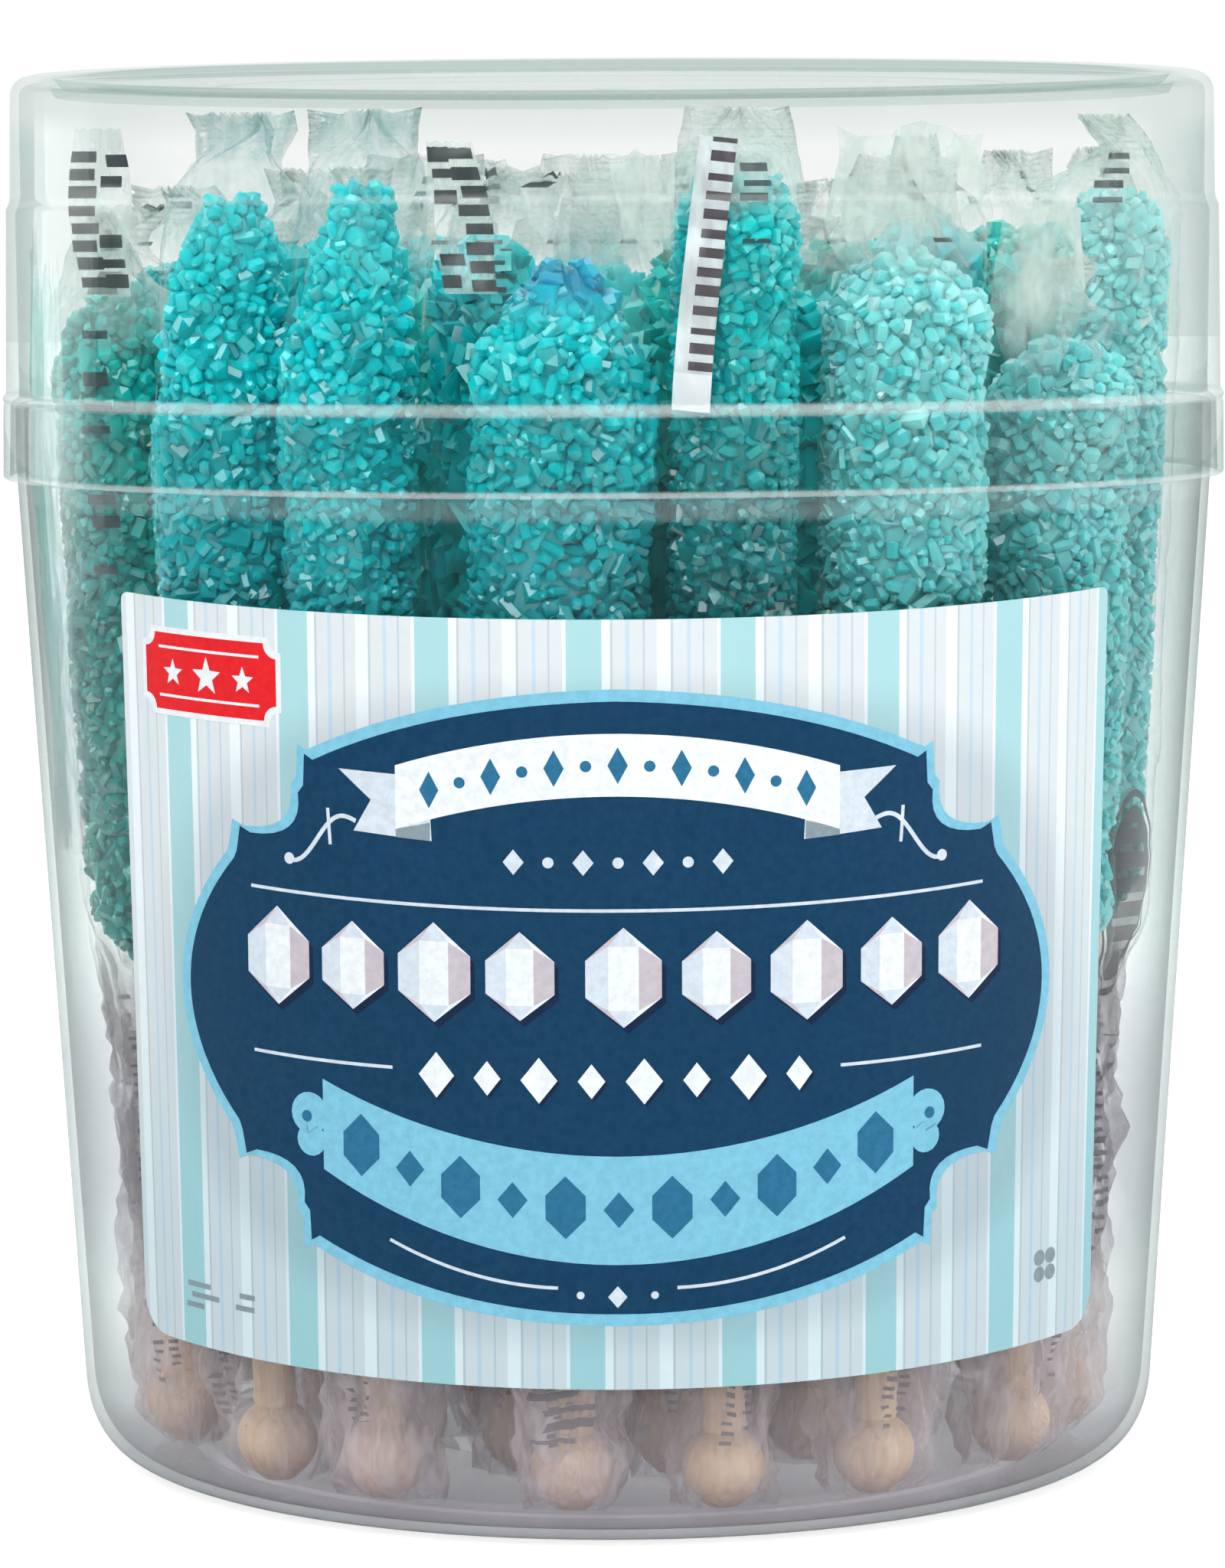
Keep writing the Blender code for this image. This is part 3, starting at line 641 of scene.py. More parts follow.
def hull_template(points):
    bm = bmesh.new()
    for p in points:
        bm.verts.new(p)
    got = bmesh.ops.convex_hull(bm, input=bm.verts)
    bmesh.ops.delete(bm, geom=[g for g in got["geom_interior"] if isinstance(g, bmesh.types.BMVert)], context="VERTS")
    bmesh.ops.triangulate(bm, faces=bm.faces)
    bm.verts.index_update()
    bmesh.ops.recalc_face_normals(bm, faces=bm.faces)
    v = np.array([x.co for x in bm.verts], float)
    f = np.array([[x.index for x in face.verts] for face in bm.faces], int)
    bm.free()
    return v, f


def crystal_templates():
    """Blocky sugar crystals: a sheared six-sided section with wedge ends."""
    out = []
    for a, b, c, w in ((1.0, 0.72, 0.55, 0.35), (0.85, 0.85, 0.62, 0.25), (1.25, 0.55, 0.5, 0.45)):
        sec = [(b, 0.18 * c), (0.55 * b, c), (-0.62 * b, c), (-b, -0.18 * c), (-0.55 * b, -c), (0.62 * b, -c)]
        pts = [(s * a * 0.72, y, z) for s in (-1, 1) for y, z in sec]
        pts += [(s * a, y * w * b, 0.15 * c * s) for s in (-1, 1) for y in (-1, 1)]
        out.append(hull_template(pts))
    return out


def simple_template():
    pts = [(x, y * 0.8 + 0.2 * z, z * 0.6) for x in (-1, 1) for y in (-1, 1) for z in (-1, 1)]
    return [hull_template(pts)]


FINE, PLAIN = crystal_templates(), simple_template()


def candy_shape(kind, t_mm, length):
    """Share of the full radius at t_mm above the bottom of the crystals."""
    t = np.asarray(t_mm, float)
    up = np.clip(t / 7.0, 0, 1)
    low = 0.42 + 0.58 * np.sin(up * math.pi / 2) ** 0.8
    end = length - t
    if kind == "point":
        top = np.where(end < 15.0, 0.16 + 0.84 * np.clip(end / 15.0, 0, 1) ** 0.75, 1.0)
    elif kind == "dome":
        s = np.clip(end / 11.0, 0, 1)
        top = np.sqrt(np.clip(1 - (1 - s) ** 2, 0.03, 1))
    elif kind == "peak":
        s = np.clip(end / 26.0, 0, 1)
        top = 0.30 + 0.70 * np.clip(s, 0, 1) ** 0.7
    else:
        s = np.clip(end / 9.0, 0, 1)
        top = 0.45 + 0.55 * s ** 0.6
    return low * top


def thrown(rng, axis, surface, kind, low, length, size, want, window):
    """Spots on the candy, none nearer to the next than about one crystal."""
    tries = int(want * 8)
    tz = rng.uniform(0, 1, tries) * (length - 0.5)
    tt = rng.uniform(0, math.tau, tries)
    keep = (rng.uniform(0, 1, tries) < np.clip(candy_shape(kind, tz, length) + 0.15, 0, 1)) & window(tt, low + tz)
    tz, tt = tz[keep], tt[keep]
    zc = low + tz
    rc = surface(tt, zc)
    a = axis(zc)
    pc = np.stack([a[:, 0] + rc * np.cos(tt), a[:, 1] + rc * np.sin(tt), zc], -1)
    sizes = size * np.exp(rng.normal(0, 0.27, len(pc)))
    sizes = np.where(rng.uniform(0, 1, len(pc)) < 0.09, sizes * 1.55, sizes)
    taken = np.zeros((want, 3))
    n, out = 0, []
    for i in range(len(pc)):
        if n >= want:
            break
        if n and (np.abs(taken[:n] - pc[i]).max(1) < 0.84 * sizes[i]).any():
            continue
        taken[n] = pc[i]
        n += 1
        out.append((pc[i], tt[i], sizes[i]))
    return out


def make_candy(name, info, rng, mat, kind, fine, outward, hidden_below=0.0, grow=0.0, shift=0.0, front=None, lumps=0.085):
    """A cluster of sugar crystals round the stick: small, many and irregular where
    they can be seen, larger and fewer where the next candy or the label covers them."""
    zs, cs, rs, turn = info
    low, tip = zs[3] - 0.5, zs[-3] + 2.0
    env = rs[4:-3].max() * 1.03 + grow
    big_r = env - 0.35
    length = tip - low
    field = Waves(rng, 14, 17.0, (1, 1, 1.5))
    ripple = Waves(rng, 14, 7.0)

    def axis(z):
        # the upper end may lean round the tub
        s = np.clip((z - tip + 34.0) / 34.0, 0, 1.15) ** 1.6 * shift
        return np.stack([np.interp(z, zs, cs[:, 0]) - s * math.sin(outward), np.interp(z, zs, cs[:, 1]) + s * math.cos(outward)], -1)

    def surface(theta, z):
        d = np.stack([np.cos(theta) * 10, np.sin(theta) * 10, z], -1)
        k = 1.0 + lumps * np.clip(field(d), -1.6, 1.2) + 0.03 * ripple(d)
        return big_r * 0.95 * candy_shape(kind, z - low, length) * np.clip(k, 0.7, 1.05)

    # core under the crystals
    segs, rows = (28, 36) if fine else (16, 18)
    th = np.arange(segs) * math.tau / segs
    zz = np.linspace(low + 0.6, tip - 2.0, rows)
    T, Z = np.meshgrid(th, zz)
    R = surface(T, Z) * 0.95 - 0.4
    R = np.clip(R, 0.6, None)
    C = axis(Z)
    V = np.stack([C[..., 0] + R * np.cos(T), C[..., 1] + R * np.sin(T), Z], -1).reshape(-1, 3)
    F = []
    for j in range(rows - 1):
        for s in range(segs):
            t = (s + 1) % segs
            a, b, c, d = j * segs + s, j * segs + t, (j + 1) * segs + t, (j + 1) * segs + s
            F += [(a, b, c), (a, c, d)]
    V = np.concatenate([V, [[*axis(zz[0]), zz[0] - 0.4], [*axis(zz[-1]), zz[-1] + 0.8]]])
    n0 = segs * rows
    for s in range(segs):
        t = (s + 1) % segs
        F.append((n0, t, s))
        F.append((n0 + 1, (rows - 1) * segs + s, (rows - 1) * segs + t))
    verts, faces = [V], [np.array(F)]
    count_v = len(V)

    def off(theta):
        return np.abs((theta - outward + math.pi) % math.tau - math.pi)

    if fine:
        plans = [
            (1.55, 1250, FINE, lambda t, z: ((off(t) < 1.95) | (z > tip - 12.0)) & (z >= hidden_below)),
            (2.7, 300, PLAIN, lambda t, z: ((off(t) >= 1.85) & (z < tip - 11.0)) | (z < hidden_below)),
        ]
    else:
        plans = [
            (1.9, 230, PLAIN, lambda t, z: z > tip - 30.0),
            (3.4, 170, PLAIN, lambda t, z: z <= tip - 28.0),
        ]
    def flank(t, z):
        # the side of a front candy that turns in to the pack but still shows
        turned = np.abs((t + math.pi / 2 + math.pi) % math.tau - math.pi)
        return (off(t) >= 1.88) & (turned < 1.80) & (z > 112.0) & (z < tip - 10.5)

    plans = [(rng, plan) for plan in plans]
    if front is not None:
        plans.append((front, (1.55, 320, FINE, flank)))
    for rng, (size, want, templates, window) in plans:
        for spot, theta, s in thrown(rng, axis, surface, kind, low, length, size, want, window):
            if not fine:
                s = min(s, (1.0 if size < 2.0 else 0.95) * size)
            near_tip = (tip - spot[2]) < 9
            n = np.array([math.cos(theta), math.sin(theta), 0.9 if near_tip else 0.0])
            n /= np.linalg.norm(n)
            r = rng.normal(size=3)
            x = n * rng.uniform(0.05, 1.0) + 0.9 * r / np.linalg.norm(r)
            x /= np.linalg.norm(x)
            y = np.cross(x, rng.normal(size=3))
            y /= np.linalg.norm(y)
            z = np.cross(x, y)
            tv, tf = templates[rng.integers(len(templates))]
            stretch = np.array([rng.uniform(0.9, 1.25), rng.uniform(0.85, 1.15), rng.uniform(0.8, 1.1)])
            if front is not None and size > 2.0 and flank(theta, spot[2]):
                continue
            world = (tv * stretch * s) @ np.stack([x, y, z]) + spot - n * s * 0.62
            # hold the crystal inside the wrapper
            c = axis(world[:, 2])
            rad = np.linalg.norm(world[:, :2] - c, axis=1).max()
            if rad > big_r:
                world[:, :2] -= n[:2] / max(np.linalg.norm(n[:2]), 1e-6) * (rad - big_r)
            over = world[:, 2].max() - (tip + 1.5)
            if over > 0:
                world[:, 2] -= over
            verts.append(world)
            faces.append(tf + count_v)
            count_v += len(world)
    ob = array_mesh(name, np.concatenate(verts) * MM, np.concatenate(faces), mat)
    return ob, axis, surface, low, tip, env


def make_stick(name, info, rng, mat):
    zs, cs, rs, turn = info
    base = zs[0]
    k = rs[1] * 0.98
    prof = [(0.0, base + 0.05), (k * 0.38, base + 0.05)]
    for i in range(1, 12):
        a = -0.5 * math.pi + math.pi * (0.13 + 0.70 * i / 11)
        prof.append((k * math.cos(a), base + k * 1.0 + k * math.sin(a)))
    top = prof[-1][1]
    prof += [(2.95, top + 0.9), (2.75, top + 2.2), (2.75, 60.0), (2.75, zs[-3] - 6.0), (2.2, zs[-3] - 5.2), (0.0, zs[-3] - 5.2)]
    segs = 20
    V, F = [], []
    for r, z in prof[1:-1]:
        c = (np.interp(z, zs, cs[:, 0]), np.interp(z, zs, cs[:, 1]))
        for s in range(segs):
            a = s * math.tau / segs
            V.append((c[0] + r * math.cos(a), c[1] + r * math.sin(a), z))
    m = len(prof) - 2
    for j in range(m - 1):
        for s in range(segs):
            t = (s + 1) % segs
            F.append((j * segs + s, j * segs + t, (j + 1) * segs + t, (j + 1) * segs + s))
    me = bpy.data.meshes.new(name)
    low_c, top_c = len(V), len(V) + 1
    for z in (prof[0][1], prof[-1][1]):
        V.append((np.interp(z, zs, cs[:, 0]), np.interp(z, zs, cs[:, 1]), z))
    for s in range(segs):
        t = (s + 1) % segs
        F.append((low_c, t, s))
        F.append((top_c, (m - 1) * segs + s, (m - 1) * segs + t))
    me.from_pydata([(x * MM, y * MM, z * MM) for x, y, z in V], [], F)
    me.update()
    me.shade_smooth()
    me.set_sharp_from_angle(angle=math.radians(50))
    me.materials.append(mat)
    ob = bpy.data.objects.new(name, me)
    scene.collection.objects.link(ob)
    return ob


def make_film(name, info, rng, mat, axis, surface, low, tip, env, fine, print_side, veil, across=None, cap=(8.0, 0.0)):
    """The wrapper: close round the crystals, loose and folded round the stick,
    gathered to a flat crimped end above the tip."""
    zs, cs, rs, turn = info
    if across is not None:
        turn = across
    top = zs[-1]
    segs = 48 if fine else 24
    dz = 1.4 if fine else 3.4
    z = np.arange(zs[0] + 0.3, top + 0.01, dz)
    z[-1] = top
    th = np.arange(segs) * math.tau / segs
    T, Z = np.meshgrid(th, z)
    knob_r = rs[1] + 0.9
    k0 = zs[1]

    def ease(x):
        x = np.clip(x, 0, 1)
        return x * x * (3 - 2 * x)

    swing = rng.uniform(0, math.pi)
    loose_a = rng.uniform(7.4, 9.6)      # half widths of the flattened tube round the stick
    loose_b = rng.uniform(4.4, 5.6)
    # half width, half depth and direction along the wrapper
    f_knob = ease((Z - (k0 - 1.0)) / 9.0)
    a = knob_r * 1.12 * (1 - f_knob) + loose_a * f_knob
    b = knob_r * (1 - f_knob) + loose_b * f_knob
    low_end = np.sqrt(np.clip(1 - ((Z - k0) / (knob_r * 1.25)) ** 2, 0.2, 1))
    a = np.where(Z < k0, a * (0.35 + 0.65 * low_end), a)
    b = np.where(Z < k0, b * low_end, b)
    env_film = rs[4:-3].max() * 1.03
    f_body = ease((Z - (low - 13.0)) / 15.0)
    body_r = np.maximum(surface(T, np.clip(Z, low + 6.0, tip - 9.0)) * 1.04 + 0.5, env * 0.86)
    body_r = np.minimum(np.maximum(body_r, env_film * 0.86), env_film)
    direction = swing + (turn - swing) * ease((Z - low) / (tip - low))
    co, si = np.cos(T - direction), np.sin(T - direction)
    ell = a * b / np.sqrt((b * co) ** 2 + (a * si) ** 2)
    R = ell * (1 - f_body) + body_r * f_body
    # the end above the tip: flat, waving, and a little wider at the very top
    f_top = ease((Z - (tip - 2.5)) / 11.5)
    fa = env_film * (0.80 + 0.16 * ease((Z - tip) / (top - tip)))
    fb = 2.0 - 1.4 * ease((Z - tip) / max(top - tip, 1))
    flat = fa * fb / np.sqrt((fb * co) ** 2 + (fa * si) ** 2)
    R = R * (1 - f_top) + flat * f_top
    # folds: long creases, stronger where the film is loose
    d = np.stack([np.cos(T) * 9, np.sin(T) * 9, Z], -1)
    long_fold = Waves(rng, 10, 5.0, (1, 1, 4.0))
    small = Waves(rng, 12, 3.4)
    loose = np.clip(np.clip(1 - f_body, 0, 1) + f_top * 0.9, 0, 1)
    fold = np.abs(long_fold(d)) - 0.75
    R = R + fold * (0.20 + 1.05 * loose) * (1 - 0.65 * f_top) + small(d) * (0.10 + 0.24 * loose) * (1 - 0.6 * f_top)
    R = np.clip(R, 0.25, max(env, env_film) * 1.02)
    C = axis(Z)
    sway = Waves(rng, 6, 11.0)
    nrm = np.stack([-np.sin(turn) * np.ones_like(Z), np.cos(turn) * np.ones_like(Z)], -1)
    wav = (f_top * ease((Z - tip + 4) / 10.0) * 2.2 * sway(np.stack([np.cos(T - turn) * 8, 0 * Z, Z], -1)))[..., None] * nrm
    X = C[..., 0] + R * np.cos(T) + wav[..., 0]
    Y = C[..., 1] + R * np.sin(T) + wav[..., 1]
    # stay inside the lid and the tub
    rad = np.hypot(X, Y)
    inner = np.where(Z < 140.0, np.minimum(wall_r(Z), wall_r(REF_Z)) - WALL, R_TOP - WALL) - 0.35
    inner = np.where(Z < HEEL_Z, np.minimum(inner, 60.0 + (Z - 1.2) * 1.25), inner)
    s = np.where(rad > inner, inner / np.maximum(rad, 1e-6), 1.0)
    X, Y = X * s, Y * s
    P = np.stack([X, Y, Z], -1)
    # how far round from the print line each point lies
    start = int(round(((print_side + math.pi) % math.tau) / math.tau * segs)) % segs
    order = (np.arange(segs + 1) + start) % segs
    Q = P[:, order]
    run = np.concatenate([np.zeros((len(z), 1)), np.cumsum(np.linalg.norm(np.diff(Q, axis=1), axis=-1), axis=1)], 1)
    run -= run[:, segs // 2 : segs // 2 + 1]
    # pinked edge along the crimped end
    P[-1, :, 2] += np.where(np.arange(segs) % 2 == 0, 0.0, -0.7)
    V = P.reshape(-1, 3)
    rows = len(z)
    j, i = np.meshgrid(np.arange(rows - 1), np.arange(segs), indexing="ij")
    a0, a1 = order[i], order[i + 1]
    F = np.stack([j * segs + a0, j * segs + a1, (j + 1) * segs + a1, (j + 1) * segs + a0], -1).reshape(-1, 4)
    v0, v1 = z[j] / 100.0, z[j + 1] / 100.0
    uv = np.stack(
        [
            np.stack([run[j, i] / 100.0, v0], -1), np.stack([run[j, i + 1] / 100.0, v0], -1),
            np.stack([run[j + 1, i + 1] / 100.0, v1], -1), np.stack([run[j + 1, i] / 100.0, v1], -1),
        ],
        -2,
    ).reshape(-1, 2)
    ob = array_mesh(name, V * MM, F, mat, smooth=True, uv=uv)
    me = ob.data
    f_end = ease((Z - tip) / 7.0)
    g = np.clip(1 - f_body, 0, 1) * (0.62 + 0.10 * ease((30.0 - Z) / 22.0)) * veil + f_end * 0.80
    g = np.maximum(g, ease((Z - (tip - cap[0])) / (0.8 * cap[0])) * cap[1])
    g = np.clip(g, 0, 1).ravel()
    c = np.clip(ease((Z - (top - 7.5)) / 2.0), 0, 1).ravel()
    layer = me.color_attributes.new("gather", "FLOAT_COLOR", "POINT")
    layer.data.foreach_set("color", np.stack([g, c, g, np.ones_like(g)], -1).astype(np.float32).ravel())
    return ob


def make_strip(name, mat, x_low, x_high, y, z0, z1, width, rng):
    """A flat flap of film, double so that it has a thickness, a little bowed."""
    rows, cols = 26, 5
    wave = Waves(rng, 5, 13.0)
    V, F, UV = [], [], []
    for side in (0, 1):
        for j in range(rows):
            t = j / (rows - 1)
            z = z0 + (z1 - z0) * t
            cx = x_low + (x_high - x_low) * t ** 1.3
            for i in range(cols):
                u = (i / (cols - 1) - 0.5) * width
                bow = 0.55 * float(wave(np.array([[u, 0.0, z]]))[0]) + 0.5 * (u / width) ** 2 * 4
                V.append((cx + u * 0.96, y + bow + side * 0.12 + 1.2 * t, z - 0.10 * u))
    m = rows * cols
    for side in (0, 1):
        for j in range(rows - 1):
            for i in range(cols - 1):
                q = [side * m + j * cols + i, side * m + j * cols + i + 1, side * m + (j + 1) * cols + i + 1, side * m + (j + 1) * cols + i]
                F.append(q if side == 0 else q[::-1])
    edge = [j * cols for j in range(rows)] + [(rows - 1) * cols + i for i in range(1, cols)]
    edge += [j * cols + cols - 1 for j in range(rows - 2, -1, -1)] + list(range(cols - 2, 0, -1))
    for k, e in enumerate(edge):
        n = edge[(k + 1) % len(edge)]
        F.append([e, n, n + m, e + m])
    for f in F:
        for v in f:
            w = v % m
            UV.append((((w % cols) / (cols - 1) - 0.5) * width / 100.0, (w // cols) / (rows - 1) * (z1 - z0) / 100.0))
    return array_mesh(name, np.array(V) * MM, F, mat, smooth=True, uv=UV, sharp=50)


def make_flap(name, mat, low_xy, high_xy, z0, z1, width, veil, rng, flip=False, foot=1.0):
    """A loose fold of film that faces the front, double and wavy, with its print. It
    narrows to the given share of its width at the foot, where it also clears."""
    rows, cols = 18, 13
    wave, fine_wave = Waves(rng, 6, 12.0), Waves(rng, 8, 4.5)
    V, UV, G = [], [], []
    for side in (0, 1):
        for j in range(rows):
            t = j / (rows - 1)
            cx = low_xy[0] + (high_xy[0] - low_xy[0]) * t
            cy = low_xy[1] + (high_xy[1] - low_xy[1]) * t
            for i in range(cols):
                u = (i / (cols - 1) - 0.5) * width * (0.90 + 0.10 * math.sin(3.0 * t + 0.6)) * (foot + (1 - foot) * min(1.0, t / 0.7) ** 0.8)
                u += (0.35 + 0.35 * abs(i / (cols - 1) - 0.5)) * math.sin(7.0 * t + 1.3 * i + z0) * (width / 12.0)
                spot = np.array([[u, 0.0, z0 + (z1 - z0) * t]])
                bow = 0.55 * float(wave(spot)[0]) + 0.22 * float(fine_wave(spot)[0])
                z = z0 + (z1 - z0) * t
                if j == rows - 1:
                    z += 0.25 * (i % 2) + (0.9 * math.sin(i * 0.8 + z0) if foot < 1.0 else 0.0)
                V.append((cx + u, cy + bow + side * 0.12, z))
                G.append(veil * (0.65 + 0.35 * abs(math.sin(0.9 * i + 0.35 * j))) * (min(1.0, t / 0.45) if foot < 1.0 else 1.0))
    m = rows * cols
    F = []
    for side in (0, 1):
        for j in range(rows - 1):
            for i in range(cols - 1):
                q = [side * m + j * cols + i, side * m + j * cols + i + 1, side * m + (j + 1) * cols + i + 1, side * m + (j + 1) * cols + i]
                F.append(q if side == 0 else q[::-1])
    edge = [j * cols for j in range(rows)] + [(rows - 1) * cols + i for i in range(1, cols)]
    edge += [j * cols + cols - 1 for j in range(rows - 2, -1, -1)] + list(range(cols - 2, 0, -1))
    for k, e in enumerate(edge):
        n = edge[(k + 1) % len(edge)]
        F.append([e, n, n + m, e + m])
    for f in F:
        for v in f:
            w = v % m
            u = ((w % cols) / (cols - 1) - 0.5) * width
            z = z0 + (z1 - z0) * (w // cols) / (rows - 1)
            UV.append(((-u if flip else u) / 100.0, ((z0 + z1 - z) if flip else z) / 100.0))
    ob = array_mesh(name, np.array(V) * MM, F, mat, smooth=True, uv=UV, sharp=50)
    layer = ob.data.color_attributes.new("gather", "FLOAT_COLOR", "POINT")
    layer.data.foreach_set("color", np.stack([G, np.zeros(len(G)), G, np.ones(len(G))], -1).astype(np.float32).ravel())
    return ob


def make_pressed(name, mat, a0, a1, z0, z1, rng):
    """Film pressed flat against the inside of the tub: a creased curved sheet that
    clears towards its edges."""
    rows, cols = 40, 26
    wave, small = Waves(rng, 8, 9.0, (1, 1, 2.5)), Waves(rng, 10, 3.2, (1, 1, 2.0))
    V, UV, G = [], [], []
    for side in (0, 1):
        for j in range(rows):
            t = j / (rows - 1)
            for i in range(cols):
                k = i / (cols - 1)
                z = z0 + (z1 - z0) * t + 2.4 * math.sin(5.0 * k + 1.0) * (t if t > 0.5 else t - 1.0)
                az = a0 + (a1 - a0) * k
                base = min(wall_r(z), wall_r(REF_Z)) - WALL - 1.0
                spot = np.array([[base * math.cos(az), base * math.sin(az), z]])
                r = base + 0.28 * max(-1.5, min(1.5, float(wave(spot)[0]))) + 0.14 * max(-1.5, min(1.5, float(small(spot)[0]))) - 0.10 * side
                V.append((r * math.cos(az), r * math.sin(az), z))
                UV.append((base * (az - a0) / 100.0, z / 100.0))
                edge = min(1.0, k / 0.22, (1 - k) / 0.35) * min(1.0, t / 0.16, (1 - t) / 0.10)
                G.append(max(0.0, edge) ** 0.8 * 0.96)
    m = rows * cols
    F = []
    for side in (0, 1):
        for j in range(rows - 1):
            for i in range(cols - 1):
                q = [side * m + j * cols + i, side * m + j * cols + i + 1, side * m + (j + 1) * cols + i + 1, side * m + (j + 1) * cols + i]
                F.append(q if side == 0 else q[::-1])
    rim = [j * cols for j in range(rows)] + [(rows - 1) * cols + i for i in range(1, cols)]
    rim += [j * cols + cols - 1 for j in range(rows - 2, -1, -1)] + list(range(cols - 2, 0, -1))
    for k, e in enumerate(rim):
        n = rim[(k + 1) % len(rim)]
        F.append([e, n, n + m, e + m])
    ob = array_mesh(name, np.array(V) * MM, F, mat, smooth=True, uv=[UV[v] for f in F for v in f], sharp=50)
    layer = ob.data.color_attributes.new("gather", "FLOAT_COLOR", "POINT")
    layer.data.foreach_set("color", np.stack([G, np.zeros(len(G)), G, np.ones(len(G))], -1).astype(np.float32).ravel())
    return ob


# ---------------------------------------------------------------------------
# label
# ---------------------------------------------------------------------------
HALF = math.atan(SLOPE)
APEX_Z = REF_Z - REF_R / SLOPE
SLANT = (LABEL_MID_Z - APEX_Z) / math.cos(HALF)


def cone_point(u, v, lift, turn=0.0):
    rho = math.hypot(u, SLANT + v)
    theta = math.atan2(u, SLANT + v) / math.sin(HALF) + turn
    r = rho * math.sin(HALF) + lift * math.cos(HALF)
    z = APEX_Z + rho * math.cos(HALF) - lift * math.sin(HALF)
    return (r * math.sin(theta) * MM, -r * math.cos(theta) * MM, z * MM)


def flat_piece(name, outlines, lift, mat, thick=0.02, step=1.5, turn=0.0):
    """Closed outlines on the flat sheet, cut into narrow strips and rolled onto the tub
    as a thin closed layer whose outer face is at the given height above the wall."""
    bm = bmesh.new()
    for outline in outlines:
        vs = [bm.verts.new((u, v, 0.0)) for u, v in outline]
        bm.faces.new(vs)
    lo = min(p[0] for o in outlines for p in o)
    hi = max(p[0] for o in outlines for p in o)
    k = math.floor(lo / step) + 1
    while k * step < hi:
        geom = list(bm.verts) + list(bm.edges) + list(bm.faces)
        bmesh.ops.bisect_plane(bm, geom=geom, dist=1e-5, plane_co=(k * step, 0, 0), plane_no=(1, 0, 0))
        k += 1
    bmesh.ops.triangulate(bm, faces=bm.faces)
    bmesh.ops.recalc_face_normals(bm, faces=bm.faces)
    for f in list(bm.faces):
        if f.normal.z < 0:
            f.normal_flip()
    uvl = bm.loops.layers.uv.new("print")
    for f in bm.faces:
        for lp in f.loops:
            lp[uvl].uv = (lp.vert.co.x / 100.0, lp.vert.co.y / 100.0)
    top = list(bm.faces)
    got = bmesh.ops.duplicate(bm, geom=list(bm.verts) + list(bm.edges) + list(bm.faces))
    under = [g for g in got["geom"] if isinstance(g, bmesh.types.BMFace)]
    pairs = [(k_, v_) for k_, v_ in got["vert_map"].items() if k_ in set()]
    under_verts = set(v for f in under for v in f.verts)
    rim = [e for e in bm.edges if len(e.link_faces) == 1 and e.verts[0] not in under_verts]
    vmap = {}
    key = {}
    for v in under_verts:
        key.setdefault((round(v.co.x, 5), round(v.co.y, 5)), []).append(v)
    top_verts = set(v for f in top for v in f.verts)
    for v in top_verts:
        cand = key[(round(v.co.x, 5), round(v.co.y, 5))]
        vmap[v] = cand.pop() if len(cand) > 1 else cand[0]
    for f in under:
        f.normal_flip()
    for e in rim:
        f = e.link_faces[0]
        for lp in f.loops:
            if lp.edge == e:
                a, b = lp.vert, lp.link_loop_next.vert
        try:
            side = bm.faces.new((b, a, vmap[a], vmap[b]))
            for lp in side.loops:
                lp[uvl].uv = (lp.vert.co.x / 100.0, lp.vert.co.y / 100.0)
        except ValueError:
            pass
    for v in bm.verts:
        h = lift - thick if v in under_verts else lift
        v.co = Vector(cone_point(v.co.x, v.co.y, h, turn))
    me = bpy.data.meshes.new(name)
    bm.to_mesh(me)
    bm.free()
    me.materials.append(mat)
    ob = bpy.data.objects.new(name, me)
    scene.collection.objects.link(ob)
    return ob


def through(p0, pm, p1, n):
    """Points on a parabola from p0 to p1 that passes through pm half way."""
    c = (2 * pm[0] - (p0[0] + p1[0]) / 2, 2 * pm[1] - (p0[1] + p1[1]) / 2)
    return bend(p0, c, p1, n)


def mirror_u(pts):
    return [(-u, v) for u, v in reversed(pts)]


def plaque_outline(grow=0.0):
    """Right half from top to bottom, then its mirror image."""
    w, h = 59.6 + grow, 38.4 + grow
    kx, ky = w / 59.6, h / 38.4
    right = through((0.0, 38.4), (20.5, 36.1), (39.0, 29.9), 16)
    right += [(40.2, 30.6), (40.4, 26.6)]
    right += through((41.2, 25.6), (42.6, 21.2), (48.6, 19.9), 8)[0:]
    right += [(50.3, 20.6), (50.9, 17.4)]
    right += through((51.4, 16.4), (59.6, -0.6), (51.4, -17.4), 22)
    right += [(50.9, -18.6), (50.3, -21.6)]
    right += through((48.6, -20.9), (42.6, -22.4), (41.2, -26.8), 8)
    right += [(40.4, -27.8), (40.2, -31.6)]
    right += through((39.0, -30.9), (20.5, -36.9), (0.0, -38.8), 16)
    right = [(u * kx, v * ky) for u, v in right]
    return right + mirror_u(right[1:-1])


def circle(cu, cv, r, n=20, ru=None):
    return [(cu + (ru or r) * math.cos(math.tau * i / n), cv + r * math.sin(math.tau * i / n)) for i in range(n)]


def scallop(cu, cv, r, bumps, depth, n=6):
    out = []
    for i in range(bumps * n):
        a = math.tau * i / (bumps * n)
        out.append((cu + (r + depth * abs(math.cos(bumps * a / 2))) * math.cos(a), cv + (r + depth * abs(math.cos(bumps * a / 2))) * math.sin(a)))
    return out


def star(cu, cv, r, points=5, inner=0.42):
    out = []
    for i in range(points * 2):
        a = math.pi / 2 + math.pi * i / points
        k = r if i % 2 == 0 else r * inner
        out.append((cu + k * math.cos(a), cv + k * math.sin(a)))
    return out


